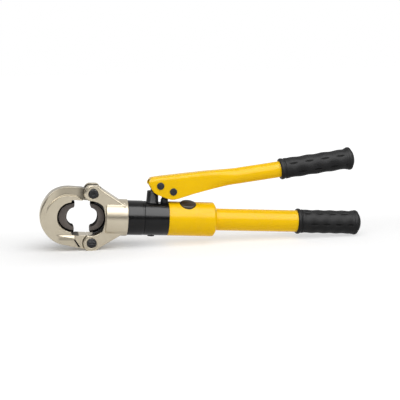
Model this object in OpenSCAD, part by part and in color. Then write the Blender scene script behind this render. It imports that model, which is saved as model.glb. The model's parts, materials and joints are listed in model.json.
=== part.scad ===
// Hand-held hydraulic pipe crimping tool, in millimetres.
// X runs along the ram axis from the crimping head towards the handles,
// Y along the crimp bore and the head pins, Z up towards the pump lever.
// The origin is the centre of the fixed die's half bore.

/* [Dies and jaw] */
// Radius of the half bore in each die
crimp_r = 12.5; // [10:0.5:14]
// Radial thickness of each die
die_wall = 10.5; // [9.5:0.5:12]
// Width of each die along the pipe
die_w = 22; // [20:1:24]
// Way between the two parting faces at rest
die_open = 24; // [20:1:26]
// Way left between the parting faces at full stroke
die_shut = 0.3; // [0.2:0.1:1]
// Radial thickness of the jaw outside the fixed die
jaw_wall = 20.5; // [19:0.5:22]
// Thickness of the jaw's boss along the pins
jaw_t = 30; // [28:1:32]
// Thickness of the jaw's tongues between the fork ears
tongue_t = 16.4; // [15:0.2:17]

/* [Fork] */
// Thickness of each fork ear
ear_t = 9; // [8:0.5:10]
// Radius of the hinge pin and of the lock pin
pin_r = 7.25; // [6.5:0.25:7.5]
// Metal left round a pin bore in a fork ear
ear_wall = 5.75; // [5.25:0.25:6.5]
// Radius of the fork's round collar
collar_r = 28; // [27.5:0.25:29]
// Length of the fork's round collar
collar_len = 28; // [26:0.5:30]

/* [Ram and cylinder] */
// Radius of the ram's rod
rod_r = 13; // [12:0.25:13.5]
// Radius of the cylinder's bore
bore_r = 21; // [20.5:0.25:21.25]
// Outside radius of the cylinder barrel
barrel_r = 26.5; // [26.25:0.25:27.25]
// Visible length of the cylinder barrel
barrel_len = 25; // [24:0.5:28]
// Wire radius of the ram's return spring
spring_w = 1.2; // [1:0.1:1.3]

/* [Pump body] */
// Outside radius of the pump body
body_r = 26.2; // [26:0.1:26.8]
// Length of the pump body in front of the sleeve
body_len = 37.4; // [37.2:0.2:39]
// Depth of the flat on top of the pump body
flat_cut = 2.2; // [2:0.1:2.7]
// Radius of the pump plunger
plunger_r = 4.2; // [3.8:0.1:4.3]
// Radius of the fulcrum post
post_r = 8.4; // [8:0.1:8.5]

/* [Sleeve, tube and grip] */
// Wall of the sleeve over the pump body
sleeve_wall = 1.5; // [1.3:0.1:2.2]
// Length of the sleeve
sleeve_len = 73; // [72:0.5:80]
// Outside radius of the reservoir tube
tube_r = 17; // [16:0.25:17.5]
// Wall of the reservoir tube
tube_wall = 2; // [1.8:0.1:2.5]
// Length of the tube that shows between the sleeve and the grip
tube_len = 131.6; // [110:0.2:150]
// Length of the grip on the reservoir tube
grip_len = 105; // [95:1:120]
// Thickness of the rubber on the reservoir tube
grip_t = 1.6; // [1.4:0.1:2.5]

/* [Pump lever] */
// Half width of the lever channel
lever_h = 13; // [12.75:0.05:13.5]
// Wall of the lever channel
lever_wall = 4; // [3.75:0.05:4.1]
// Outside radius of the lever tube
lever_r = 12.5; // [12:0.1:12.75]
// Wall of the lever tube
lever_tube_wall = 2.5; // [2:0.1:3]
// Way along the lever tube from the channel to the grip
lever_gap = 66; // [60:0.5:80]
// Length of the lever's grip
lever_grip_len = 121; // [110:1:135]
// Thickness of the rubber on the lever tube
lever_grip_t = 3.3; // [2.5:0.1:4]
// Radius of the two lever pins
lever_pin_r = 4.5; // [4.2:0.1:4.6]

/* [Release button] */
// Radius of the release button
button_r = 12.3; // [11:0.1:12.5]
// Way the release button can be pressed
button_travel = 3; // [2:0.5:3]
// Lean of the release button from upright, towards the front
button_lean = 18; // [10:1:20]

/* [Hidden] */
$fn = 96;
// Radial gap of a turning or sliding fit
run_gap = 0.05;
// Radial gap of a fixed fit
fit_gap = 0.02;
// Gap between parts that pass each other
pass_gap = 0.3;
far = 200;

nickel = "#c9bfa6";
black = "#26262a";
yellow = "#f0c610";
rubber = "#303030";
die_steel = "#5c5450";
steel = "#9a9a9c";
bronze = "#b08d57";

die_r = crimp_r + die_wall;
die_core_w = die_w - 6;
die_step = 2.4;
stroke = die_open - die_shut;
cradle_r = die_r + fit_gap + 2.65;
cradle_w = die_w - 2;
pocket_r = cradle_r + 0.8;
jaw_r = die_r + jaw_wall;
jaw_x = -5.5;
mouth_z = cradle_r + 0.6;
boss_x = -8;
boss_r = die_r + 8.5;
jaw_h = jaw_t / 2;
tongue_h = tongue_t / 2;
slot_h = tongue_h + pass_gap;
fork_h = slot_h + ear_t;
ear_r = pin_r + ear_wall;
eye_r = ear_r - 2;
pin_x = die_open + 3;
pin_z = pocket_r + eye_r;
ear_z = pin_z + eye_r;
slot_x = pin_x + eye_r + 0.8;
lock_gap = 0.3;
lock_flat = 0.6 * pin_r;
lock_chord = sqrt(pin_r * pin_r - lock_flat * lock_flat);
lock_in_r = 2 * pin_z - lock_flat - 0.25;
lock_out_r = norm([2 * pin_z + lock_flat, lock_chord]) + 0.25;

collar_x = die_open + pocket_r + 1.5;
collar_end = collar_x + collar_len;
web_x = collar_end - 5;
web_z = 22;
bush_r = rod_r + 2;
bush_x = collar_x - 1;
chamber_x = bush_x + 5;
nose_x = chamber_x + 8.3;
nose_r = bore_r + 2.5;
ring_x = nose_x + 8;
ring_r = 1;
barrel_x = collar_end + 0.1;
barrel_end = barrel_x + barrel_len;
cup_x = barrel_end - 5.7;
cup_r = bore_r + 3;
spring_r = rod_r + 1.3 + 2 * spring_w;
piston_x = barrel_end - 17;
piston_w = 12;
piston_r = bore_r - pass_gap;
stub_r = rod_r - 4;
nut_w = 4;

sleeve_x = barrel_end + body_len;
sleeve_end = sleeve_x + sleeve_len;
core_r = body_r - 1.4;
sleeve_r = core_r + sleeve_wall;
flat_z = body_r - flat_cut;
core_end = sleeve_end - 13;
socket_x = core_end - 13;
tube_end = sleeve_end + tube_len + grip_len - 8;
tube_in_r = tube_r - tube_wall;
grip_x = sleeve_end + tube_len;
grip_end = grip_x + grip_len;
grip_r = tube_r + grip_t;
nipple_r = 7;
gallery_z = -0.38 * body_r;
suction_z = 0.19 * body_r;
discharge_z = -0.04 * body_r;
plunger_floor = 0.115 * body_r;
plunger_low = 0.27 * body_r;
seal_low = 0.385 * body_r;
bore_low = 0.42 * body_r;
foot_z = 0.46 * body_r;
relief_z = gallery_z - 0.155 * body_r;
plug_top = -0.88 * body_r;
plug_head = 1.4;
valve_ball_r = 2.6;
valve_port_r = 2;
valve_lift = sqrt(valve_ball_r * valve_ball_r - valve_port_r * valve_port_r) + fit_gap;

post_x = barrel_end + 13;
post_top = flat_z + 18.4;
plunger_x = sleeve_x - 5.9;
gland_r = plunger_r + run_gap + 1.3;
gland_head_r = sleeve_x - plunger_x - 0.15;
gland_top = flat_z + 7.4;
head_z = gland_top + 3.2;
shoulder_z = head_z + 2.3;
fulcrum_x = post_x + 10;
fulcrum_z = flat_z + 27.6;
drive_x = fulcrum_x + 20;
drive_z = flat_z + 19.3;
tongue_half = 4.5;
drive_gap = 0.45;
drive_back = 2.2;
drive_fore = 2;
lever_eye_r = lever_pin_r + 2.5;
drive_eye_r = lever_pin_r + 3.7;

lever_rise = 8.1;
lever_top = 12.8;
lever_in = lever_h - lever_wall;
lever_dx = fulcrum_x - 128.1;
weld_x = 250 + lever_dx;
weld_z = fulcrum_z + 17.9;
lever_dz = fulcrum_z - 53;
tube_rise = 10.4;
spigot_r = lever_in - 0.7;
spigot_len = 1.6 * lever_r;
lever_tube_len = lever_gap + lever_grip_len - 5;
lever_grip_r = lever_r + lever_grip_t;

button_x = sleeve_x + 0.4055 * sleeve_len;
button_top = sleeve_r + 0.7;
button_low = button_top - 6.5;
button_hole_r = button_r + 0.5;
well_z = bore_low;
well_r = 6.2;
stem_r = 2.5;
stem_tip_r = 1.6;
seat_z = 0.04 * body_r;
release_ball_r = 3;
release_drop = sqrt(release_ball_r * release_ball_r - (stem_r + run_gap) * (stem_r + run_gap)) + fit_gap;
stem_low = seat_z - release_drop + release_ball_r + fit_gap;

// A round bar along X
module bar_x(x0, x1, r) {
  translate([x0, 0, 0]) rotate([0, 90, 0]) cylinder(h = x1 - x0, r = r);
}

// A round bar along Y through a point of the XZ plane
module bar_y(x, z, r, y0, y1) {
  translate([x, y0, z]) rotate([-90, 0, 0]) cylinder(h = y1 - y0, r = r);
}

// A round bar along Z
module bar_z(x, z0, z1, r) {
  translate([x, 0, z0]) cylinder(h = z1 - z0, r = r);
}

// A flat tube along X
module ring_bar_x(x0, x1, r_in, r_out) {
  difference() {
    bar_x(x0, x1, r_out);
    bar_x(x0 - 1, x1 + 1, r_in);
  }
}

// A flat tube along Y
module ring_bar_y(x, z, r_in, r_out, y0, y1) {
  difference() {
    bar_y(x, z, r_out, y0, y1);
    bar_y(x, z, r_in, y0 - 1, y1 + 1);
  }
}

// A round ring about the X axis
module wire_ring_x(x, ring, wire) {
  translate([x, 0, 0])
    rotate([0, 90, 0])
      rotate_extrude()
        translate([ring, 0])
          circle(r = wire);
}

// A profile of radius and X, turned about the X axis
module turned_x() {
  rotate([0, 90, 0]) rotate_extrude() children();
}

// A profile of the XZ plane with a thickness along Y
module plate_y(half) {
  rotate([90, 0, 0]) linear_extrude(height = 2 * half, center = true) children();
}

// Steps round one curl of a coil spring
coil_n = 16;
coil_m = 8;

function coil_points(ring, wire, h, curls) = [
  for (i = [0 : coil_n * curls])
    for (j = [0 : coil_m - 1])
      let (
        a = 360 * i / coil_n,
        b = 360 * j / coil_m,
        z = wire + (h - 2 * wire) * i / (coil_n * curls)
      )
        [(ring + wire * cos(b)) * cos(a), (ring + wire * cos(b)) * sin(a), z + wire * sin(b)]
];

function coil_faces(curls) = concat(
  [[for (j = [0 : coil_m - 1]) j]],
  [
    for (i = [0 : coil_n * curls - 1])
      for (j = [0 : coil_m - 1])
        for (k = [0, 1])
          let (
            p = i * coil_m + j,
            q = i * coil_m + (j + 1) % coil_m
          )
            k == 0 ? [p, p + coil_m, q] : [q, p + coil_m, q + coil_m]
  ],
  [[for (j = [coil_m - 1 : -1 : 0]) coil_n * curls * coil_m + j]]
);

// Way from a valve ball's centre to the end of the coil that it sits on
function ball_rest(ring, wire) = sqrt(pow(valve_ball_r + wire, 2) - ring * ring) - wire + fit_gap;

// A coil spring that stands on Z = 0
module coil(ring, wire, h, curls) {
  polyhedron(points = coil_points(ring, wire, h, curls), faces = coil_faces(curls), convexity = 10);
}

// Outline of the fork's two ears and webs
module fork_outline() {
  difference() {
    intersection() {
      union() {
        translate([pin_x, pin_z]) circle(r = ear_r);
        translate([pin_x, -pin_z]) circle(r = ear_r);
        polygon([
          [pin_x, ear_z],
          [pin_x + 6, ear_z],
          [web_x, web_z],
          [web_x, -web_z],
          [pin_x + 6, -ear_z],
          [pin_x, -ear_z]
        ]);
      }
      translate([-far, -ear_z]) square([2 * far, 2 * ear_z]);
    }
    translate([die_open, 0]) circle(r = pocket_r);
    translate([die_open - far, -pocket_r]) square([far, 2 * pocket_r]);
  }
}

module head_fork() {
  color(nickel)
    difference() {
      union() {
        plate_y(fork_h) fork_outline();
        bar_x(collar_x, collar_end, collar_r);
      }
      for (s = [-1, 1])
        translate([slot_x - far, -slot_h, s > 0 ? pocket_r - 6 : 6 - pocket_r - far])
          cube([far, 2 * slot_h, far]);
      bar_y(pin_x, pin_z, pin_r + fit_gap, -far, far);
      bar_y(pin_x, -pin_z, pin_r + run_gap, -far, far);
      bar_x(die_open, collar_end + 1, rod_r + 0.4);
      bar_x(bush_x, collar_end + 1, bush_r + fit_gap);
      bar_x(chamber_x, collar_end + 1, bore_r - 1);
      bar_x(nose_x - pass_gap, collar_end + 1, nose_r + run_gap);
      wire_ring_x(ring_x, nose_r, ring_r + 0.35);
    }
}

module hinge_pin() {
  color(black)
    difference() {
      union() {
        bar_y(pin_x, pin_z, pin_r, 0.6 - fork_h, fork_h + 2.4);
        bar_y(pin_x, pin_z, pin_r - 0.8, -fork_h - 0.2, 0.7 - fork_h);
      }
      ring_bar_y(pin_x, pin_z, pin_r - 0.8, pin_r + 1, fork_h + 0.1, fork_h + 1.4);
      bar_y(pin_x, pin_z, 2.2, -far, 2.4 - fork_h);
    }
}

module hinge_pin_clip() {
  color(steel) ring_bar_y(pin_x, pin_z, pin_r - 0.8 + fit_gap, pin_r + 1.8, fork_h + 0.1, fork_h + 1.3);
}

module lock_pin() {
  color(black)
    difference() {
      union() {
        bar_y(pin_x, -pin_z, pin_r, 0.6 - fork_h, fork_h + 2.4);
        bar_y(pin_x, -pin_z, pin_r - 0.8, -fork_h - 0.2, 0.7 - fork_h);
      }
      for (s = [-1, 1])
        translate([pin_x - far / 2, -slot_h - 0.2, -pin_z + (s > 0 ? lock_flat : -lock_flat - far)])
          cube([far, 2 * slot_h + 0.4, far]);
      ring_bar_y(pin_x, -pin_z, pin_r - 0.8, pin_r + 1, fork_h + 0.1, fork_h + 1.4);
      translate([pin_x - pin_r, -fork_h - 1, -pin_z - 0.9]) cube([2 * pin_r, 2.6, 1.8]);
    }
}

module lock_pin_clip() {
  color(steel) ring_bar_y(pin_x, -pin_z, pin_r - 0.8 + fit_gap, pin_r + 1.8, fork_h + 0.1, fork_h + 1.3);
}

// Thin outline of the jaw, as thick as its two tongues
module jaw_thin() {
  union() {
    translate([jaw_x, 0]) circle(r = jaw_r);
    translate([pin_x, pin_z]) circle(r = eye_r);
    polygon([
      [jaw_x, 0],
      [jaw_x, jaw_r],
      [pin_x - eye_r, jaw_r],
      [pin_x - 4, ear_z - 0.75],
      [pin_x, pin_z],
      [pin_x, mouth_z]
    ]);
    translate([pin_x, -pin_z]) circle(r = eye_r);
    polygon([
      [jaw_x, 0],
      [jaw_x - 8.5, -sqrt(jaw_r * jaw_r - 72.25)],
      [pin_x - 6, -ear_z + 1],
      [pin_x, -pin_z],
      [pin_x, -mouth_z]
    ]);
  }
}

// Thick outline of the jaw and of its lower shoulder
module jaw_thick() {
  difference() {
    union() {
      translate([jaw_x, 0]) circle(r = jaw_r);
      polygon([
        [jaw_x, 0],
        [jaw_x - 8.5, -sqrt(jaw_r * jaw_r - 72.25)],
        [pin_x - 6, -ear_z + 1],
        [pin_x - 6, 0]
      ]);
    }
    translate([pin_x, -pin_z]) circle(r = ear_r + 0.6);
  }
}

// Outline of the boss that stays proud beside the upper arm
module jaw_boss() {
  union() {
    translate([boss_x, 0]) circle(r = boss_r);
    polygon([
      [boss_x, 0],
      [boss_x, boss_r],
      [2, boss_r],
      [pin_x - ear_r - 2, mouth_z + 0.6],
      [pin_x - ear_r - 2, 0]
    ]);
  }
}

// Metal milled off one face of the upper arm, running out to the left
module arm_recess() {
  difference() {
    linear_extrude(height = far)
      polygon([
        [boss_x - 32, jaw_h],
        [boss_x - 4, tongue_h],
        [far, tongue_h],
        [far, far],
        [boss_x - 32, far]
      ]);
    plate_y(2 * far) jaw_boss();
  }
}

// Pocket milled in one face of the lower arm, with a sloping lower wall
module arm_pocket() {
  translate([-25, jaw_h, 0])
    rotate([0, 0, -7.4])
      rotate([90, 0, 90])
        linear_extrude(height = 27.5)
          polygon([
            [0, -mouth_z + 8],
            [6, -mouth_z + 8],
            [6, -mouth_z - 8.5],
            [0, -mouth_z - 1.6]
          ]);
}

// Slot across one face of the lower shoulder
module shoulder_slot() {
  translate([2.1, jaw_h - 5, 4 - pin_z])
    rotate([0, 57, 0])
      translate([0, 0, -0.8])
        cube([13.5, 40, 1.6]);
}

module c_jaw() {
  color(nickel)
    difference() {
      union() {
        plate_y(tongue_h) jaw_thin();
        plate_y(jaw_h) jaw_thick();
      }
      bar_y(0, 0, die_r + fit_gap, -far, far);
      translate([-3, -far, -mouth_z]) cube([far, 2 * far, 2 * mouth_z]);
      bar_y(pin_x, pin_z, pin_r + run_gap, -far, far);
      bar_y(pin_x, -pin_z, pin_r + lock_gap, -far, far);
      intersection() {
        ring_bar_y(pin_x, pin_z, lock_in_r, lock_out_r, -far, far);
        translate([pin_x, -far, -pin_z - 20]) cube([40, 2 * far, 40]);
      }
      for (s = [0, 1])
        mirror([0, s, 0]) {
          arm_recess();
          arm_pocket();
          shoulder_slot();
        }
      bar_x(-far, -die_r + 1, 4 + fit_gap);
    }
}

// One half-round die that meets its partner on X = 0
module die_half() {
  difference() {
    union() {
      bar_y(0, 0, die_r, -die_core_w / 2, die_core_w / 2);
      bar_y(0, 0, die_r - die_step, -die_w / 2, die_w / 2);
    }
    translate([0, -far, -far]) cube(2 * far);
    bar_y(0, 0, crimp_r, -far, far);
    for (s = [-1, 1])
      translate([0, 0, s * crimp_r])
        rotate([0, 45, 0])
          cube([2.4, 2 * far, 2.4], center = true);
    bar_x(-die_r - 1, -die_r + 2, 2 + fit_gap);
  }
}

module fixed_die() {
  color(die_steel) die_half();
}

module fixed_die_catch() {
  color(steel)
    difference() {
      union() {
        bar_x(-jaw_r + jaw_x + 2, -die_r - 0.1, 4);
        bar_x(-die_r - 0.2, -die_r + 1.8, 2);
      }
      translate([-jaw_r + jaw_x + 1, 0, 0])
        rotate([0, 90, 0])
          cylinder(h = 4, r = 2.3, $fn = 6);
    }
}

module moving_die() {
  color(die_steel) translate([die_open, 0, 0]) rotate([0, 0, 180]) die_half();
}

module moving_die_catch() {
  color(steel)
    union() {
      bar_x(die_open + die_r + 0.1, die_open + die_r + 12, 3);
      bar_x(die_open + die_r - 1.8, die_open + die_r + 0.2, 2);
    }
}

module ram() {
  color(black)
    difference() {
      union() {
        bar_x(die_open + die_r - 6, piston_x, rod_r);
        bar_x(piston_x - 1, piston_x + piston_w + nut_w, stub_r);
        intersection() {
          bar_y(die_open, 0, cradle_r, -cradle_w / 2, cradle_w / 2);
          translate([die_open + 5, -far, -far]) cube(2 * far);
        }
      }
      bar_y(die_open, 0, die_r + fit_gap, -far, far);
      bar_x(die_open, die_open + die_r + 12, 3 + fit_gap);
    }
}

module piston() {
  color(steel)
    difference() {
      bar_x(piston_x, piston_x + piston_w, piston_r);
      bar_x(piston_x - 1, piston_x + piston_w + 1, stub_r + fit_gap);
      ring_bar_x(piston_x + 4, piston_x + 8, bore_r - 3.5, bore_r + 1);
    }
}

module piston_seal() {
  color(rubber) ring_bar_x(piston_x + 4, piston_x + 8, bore_r - 3.5 + fit_gap, bore_r - run_gap);
}

module piston_nut() {
  color(steel)
    difference() {
      translate([piston_x + piston_w, 0, 0])
        rotate([0, 90, 0])
          cylinder(h = nut_w, r = stub_r + 6, $fn = 6);
      bar_x(piston_x, piston_x + piston_w + nut_w + 1, stub_r + fit_gap);
    }
}

module return_spring() {
  color(steel)
    translate([chamber_x, 0, 0])
      rotate([0, 90, 0])
        coil(spring_r, spring_w, piston_x - chamber_x, 4);
}

module rod_bush() {
  color(bronze) ring_bar_x(bush_x, chamber_x - 2, rod_r + run_gap, bush_r);
}

module rod_wiper() {
  color(rubber) ring_bar_x(chamber_x - 2, chamber_x, rod_r + run_gap, bush_r);
}

module cylinder_barrel() {
  color(black)
    difference() {
      turned_x()
        polygon([
          [bore_r, nose_x],
          [nose_r, nose_x],
          [nose_r, barrel_x],
          [barrel_r, barrel_x],
          [barrel_r, barrel_end - 2],
          [barrel_r - 1.5, barrel_end],
          [cup_r, barrel_end],
          [cup_r, cup_x],
          [bore_r, cup_x]
        ]);
      wire_ring_x(ring_x, nose_r, ring_r + fit_gap);
    }
}

module swivel_ring() {
  color(steel) wire_ring_x(ring_x, nose_r, ring_r);
}

module barrel_seal() {
  color(rubber) wire_ring_x(cup_x + 2.6, cup_r - 1, 0.98);
}

// Bores of the release valve, along the button's own axis
module release_bores() {
  translate([button_x, 0, 0])
    rotate([button_lean, 0, 0]) {
      translate([0, 0, button_low - button_travel - 0.7]) cylinder(h = far, r = button_hole_r);
      translate([0, 0, well_z]) cylinder(h = far, r = well_r);
      translate([0, 0, gallery_z]) cylinder(h = far, r = stem_r + run_gap);
      translate([0, 0, gallery_z]) cylinder(h = seat_z - gallery_z, r = release_ball_r + 0.4);
    }
}

module pump_body() {
  color(black)
    difference() {
      turned_x()
        polygon([
          [0, socket_x + 14],
          [0, barrel_end + 0.6],
          [bore_r + 0.2, barrel_end + 0.6],
          [bore_r + 0.2, cup_x + 0.1],
          [cup_r - fit_gap, cup_x + 0.1],
          [cup_r - fit_gap, barrel_end],
          [body_r - 1.5, barrel_end],
          [body_r - 1.5, barrel_end + 1.6],
          [body_r, barrel_end + 3],
          [body_r, sleeve_x],
          [core_r, sleeve_x],
          [core_r, core_end],
          [tube_r + fit_gap, core_end],
          [tube_r + fit_gap, socket_x],
          [nipple_r, socket_x],
          [nipple_r, socket_x + 14]
        ]);
      wire_ring_x(cup_x + 2.6, cup_r - 1, 1);
      translate([barrel_end + 3, -far / 2, flat_z]) cube([sleeve_x - barrel_end - 3, far, far]);
      bar_z(post_x, bore_low, far, 6 + fit_gap);
      bar_z(plunger_x, seal_low, far, gland_r + fit_gap);
      bar_z(plunger_x, plunger_floor, far, plunger_r + pass_gap);
      bar_z(plunger_x, discharge_z - 1, plunger_floor + 1, valve_port_r);
      bar_z(plunger_x, gallery_z - 2.5, discharge_z, 3.5);
      translate([0, 0, gallery_z]) bar_x(barrel_end - 1, button_x + 2, 2.5);
      bar_z(post_x, relief_z, gallery_z, valve_port_r);
      bar_z(post_x, -far, relief_z, 4.5);
      bar_z(post_x, -far, -body_r + 0.9, 5.5 + fit_gap);
      translate([0, 0, suction_z]) {
        bar_x(plunger_x, plunger_x + 10, 1.5);
        bar_x(plunger_x + 9.4, plunger_x + 18.4, 3.5);
        bar_x(plunger_x + 18, socket_x - 2, valve_port_r);
        bar_x(socket_x - 4, socket_x - 1, 2.5);
      }
      bar_x(socket_x - 3, far * 2, 3.5);
      release_bores();
    }
}

module relief_plug() {
  color(black)
    difference() {
      union() {
        bar_z(post_x, -body_r - 0.2, plug_top, 4.5 - fit_gap);
        bar_z(post_x, -body_r - plug_head, -body_r + 0.9, 5.5);
      }
      translate([post_x, 0, -body_r - plug_head - 0.6]) cylinder(h = 3, r = 2.4, $fn = 6);
    }
}

module relief_ball() {
  color(steel) translate([post_x, 0, relief_z - valve_lift]) sphere(r = valve_ball_r);
}

module relief_spring() {
  color(steel)
    translate([post_x, 0, plug_top])
      coil(2.4, 0.45, relief_z - plug_top - valve_lift - ball_rest(2.4, 0.45), 5);
}

module discharge_ball() {
  color(steel) translate([plunger_x, 0, discharge_z - valve_lift]) sphere(r = valve_ball_r);
}

module discharge_spring() {
  color(steel)
    translate([plunger_x, 0, gallery_z - 2.5])
      coil(2.1, 0.4, discharge_z + 2.5 - gallery_z - valve_lift - ball_rest(2.1, 0.4), 5);
}

module suction_ball() {
  color(steel) translate([plunger_x + 18.4 - valve_lift, 0, suction_z]) sphere(r = valve_ball_r);
}

module suction_spring() {
  color(steel)
    translate([plunger_x + 9.4, 0, suction_z])
      rotate([0, 90, 0])
        coil(2.1, 0.4, 9 - valve_lift - ball_rest(2.1, 0.4), 4);
}

// Outline of the fulcrum post's eye and of the neck that leans to it
module fulcrum_outline() {
  union() {
    translate([fulcrum_x, fulcrum_z]) circle(r = lever_eye_r);
    polygon([
      [post_x - 3, post_top - 6],
      [post_x - 3, fulcrum_z - 4],
      [fulcrum_x - 5, fulcrum_z + lever_eye_r * 0.7],
      [fulcrum_x, fulcrum_z],
      [fulcrum_x + 2, fulcrum_z - lever_eye_r + 0.4],
      [post_x + 6.5, post_top - 6]
    ]);
  }
}

module fulcrum_post() {
  color(black)
    difference() {
      union() {
        bar_z(post_x, foot_z, flat_z + 1, 6);
        bar_z(post_x, flat_z, flat_z + 1.5, post_r + 0.8);
        bar_z(post_x, flat_z + 1, post_top, post_r);
        plate_y(tongue_half) fulcrum_outline();
      }
      bar_y(fulcrum_x, fulcrum_z, lever_pin_r + run_gap, -far, far);
    }
}

module plunger_gland() {
  color(black)
    difference() {
      union() {
        bar_z(plunger_x, foot_z, gland_top - 1, gland_r);
        translate([plunger_x, 0, 0])
          rotate_extrude()
            polygon([
              [0, flat_z],
              [gland_head_r, flat_z],
              [gland_head_r, gland_top - 1.6],
              [gland_head_r - 1.6, gland_top],
              [0, gland_top]
            ]);
      }
      bar_z(plunger_x, foot_z - 1, gland_top + 1, plunger_r + run_gap);
    }
}

module plunger_seal() {
  color(rubber)
    difference() {
      bar_z(plunger_x, seal_low, foot_z, gland_r);
      bar_z(plunger_x, seal_low - 1, foot_z + 1, plunger_r + run_gap);
    }
}

// Outline of the plunger's drive eye and of the arm that leans to it
module drive_outline() {
  difference() {
    union() {
      translate([drive_x, drive_z]) circle(r = drive_eye_r);
      translate([drive_x + drive_fore, drive_z]) circle(r = drive_eye_r);
      polygon([
        [plunger_x - plunger_r, head_z],
        [plunger_x - plunger_r, shoulder_z - 1.4],
        [plunger_x - plunger_r + 1.4, shoulder_z],
        [drive_x - drive_eye_r * 0.9, drive_z + drive_eye_r * 0.42],
        [drive_x, drive_z],
        [drive_x + drive_eye_r * 0.55, drive_z - drive_eye_r * 0.82],
        [plunger_x + plunger_r + 1, head_z]
      ]);
    }
    translate([drive_x - drive_back, drive_z]) circle(r = lever_pin_r + drive_gap);
    translate([drive_x + drive_fore, drive_z]) circle(r = lever_pin_r + drive_gap);
    translate([drive_x - drive_back, drive_z - lever_pin_r - drive_gap])
      square([drive_back + drive_fore, 2 * (lever_pin_r + drive_gap)]);
  }
}

module pump_plunger() {
  color(steel)
    union() {
      bar_z(plunger_x, plunger_low, head_z + 1, plunger_r);
      bar_z(plunger_x, head_z, shoulder_z - 1.4, plunger_r + 1);
      plate_y(tongue_half) drive_outline();
    }
}

module body_sleeve() {
  color(yellow)
    difference() {
      turned_x()
        polygon([
          [core_r + fit_gap, sleeve_x],
          [sleeve_r - 0.6, sleeve_x],
          [sleeve_r, sleeve_x + 0.6],
          [sleeve_r, sleeve_end - 6],
          [sleeve_r - 4.3, sleeve_end],
          [tube_r + fit_gap, sleeve_end],
          [tube_r + fit_gap, sleeve_end - 6],
          [core_r + fit_gap, sleeve_end - 8]
        ]);
      translate([button_x, 0, 0])
        rotate([button_lean, 0, 0])
          cylinder(h = far, r = button_hole_r);
    }
}

module reservoir_tube() {
  color(yellow) ring_bar_x(socket_x, tube_end, tube_in_r, tube_r);
}

module tube_plug() {
  color(steel)
    difference() {
      bar_x(tube_end - 12, tube_end, tube_in_r - run_gap);
      translate([tube_end - 3, 0, 0])
        rotate([0, 90, 0])
          cylinder(h = 4, r = 5, $fn = 6);
    }
}

module reservoir_grip() {
  color(rubber)
    turned_x()
      polygon([
        [tube_r + fit_gap, grip_x],
        [grip_r + 1.2, grip_x],
        [grip_r + 1.8, grip_x + 1],
        [grip_r + 1.8, grip_x + 7],
        [grip_r, grip_x + 9],
        [grip_r, grip_end - 17],
        [grip_r + 1.6, grip_end - 14],
        [grip_r + 1.6, grip_end - 6],
        [grip_r - 1, grip_end - 3],
        [grip_r - 6, grip_end - 0.8],
        [0, grip_end],
        [0, tube_end],
        [tube_r + fit_gap, tube_end]
      ]);
}

module oil_bladder() {
  color(rubber)
    turned_x()
      polygon([
        [nipple_r + fit_gap, socket_x + 3],
        [nipple_r + 1.8, socket_x + 3],
        [nipple_r + 1.8, socket_x + 12],
        [tube_in_r - 1, socket_x + 19],
        [tube_in_r - 1, tube_end - 24],
        [tube_in_r - 6, tube_end - 18],
        [0, tube_end - 17],
        [0, tube_end - 18.5],
        [tube_in_r - 7, tube_end - 19.5],
        [tube_in_r - 2.5, tube_end - 24.5],
        [tube_in_r - 2.5, socket_x + 19.5],
        [nipple_r + fit_gap, socket_x + 14]
      ]);
}

module bladder_clamp() {
  color(steel)
    ring_bar_x(socket_x + 5, socket_x + 10, nipple_r + 1.8 + fit_gap, nipple_r + 3.2);
}

// Places children along the lever tube, with X = 0 at the weld
module on_lever_tube() {
  translate([weld_x, 0, weld_z]) rotate([0, -tube_rise, 0]) children();
}

// Side outline of the lever channel, below its rounded top
module lever_side() {
  translate([lever_dx, lever_dz])
    polygon([
      [110.5, 90],
      [110.5, 63],
      [109.8, 60],
      [110.6, 56.5],
      [112.7, 52],
      [115.6, 47],
      [119.3, 42.9],
      [123.9, 40.2],
      [131.5, 37.2],
      [139.8, 35],
      [145, 34],
      [149.5, 34],
      [155.6, 35.5],
      [168, 39.8],
      [182, 44.7],
      [196, 49],
      [210, 52.7],
      [225, 56],
      [weld_x - lever_dx + lever_r * sin(tube_rise), weld_z - lever_dz - lever_r * cos(tube_rise)],
      [weld_x - lever_dx - 30 * sin(tube_rise), weld_z - lever_dz + 30 * cos(tube_rise)]
    ]);
}

// Cross outline of a round-topped channel, open below
module channel_cross(half) {
  union() {
    translate([0, lever_top - lever_h]) circle(r = half);
    translate([-half, lever_top - lever_h - 60]) square([2 * half, 60]);
  }
}

module lever_channel() {
  color(yellow)
    difference() {
      intersection() {
        translate([fulcrum_x, 0, fulcrum_z])
          rotate([0, -lever_rise, 0])
            translate([-40, 0, 0])
              rotate([90, 0, 90])
                linear_extrude(height = 240)
                  difference() {
                    channel_cross(lever_h);
                    channel_cross(lever_in);
                  }
        plate_y(lever_h + 2) lever_side();
      }
      bar_y(fulcrum_x, fulcrum_z, lever_pin_r + fit_gap, -far, far);
      bar_y(drive_x, drive_z, lever_pin_r + fit_gap, -far, far);
    }
}

module lever_tube() {
  color(yellow)
    on_lever_tube()
      union() {
        ring_bar_x(0, lever_tube_len, lever_r - lever_tube_wall, lever_r);
        bar_x(-spigot_len, 5, spigot_r);
        bar_x(0, 5, lever_r - 1);
      }
}

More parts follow.
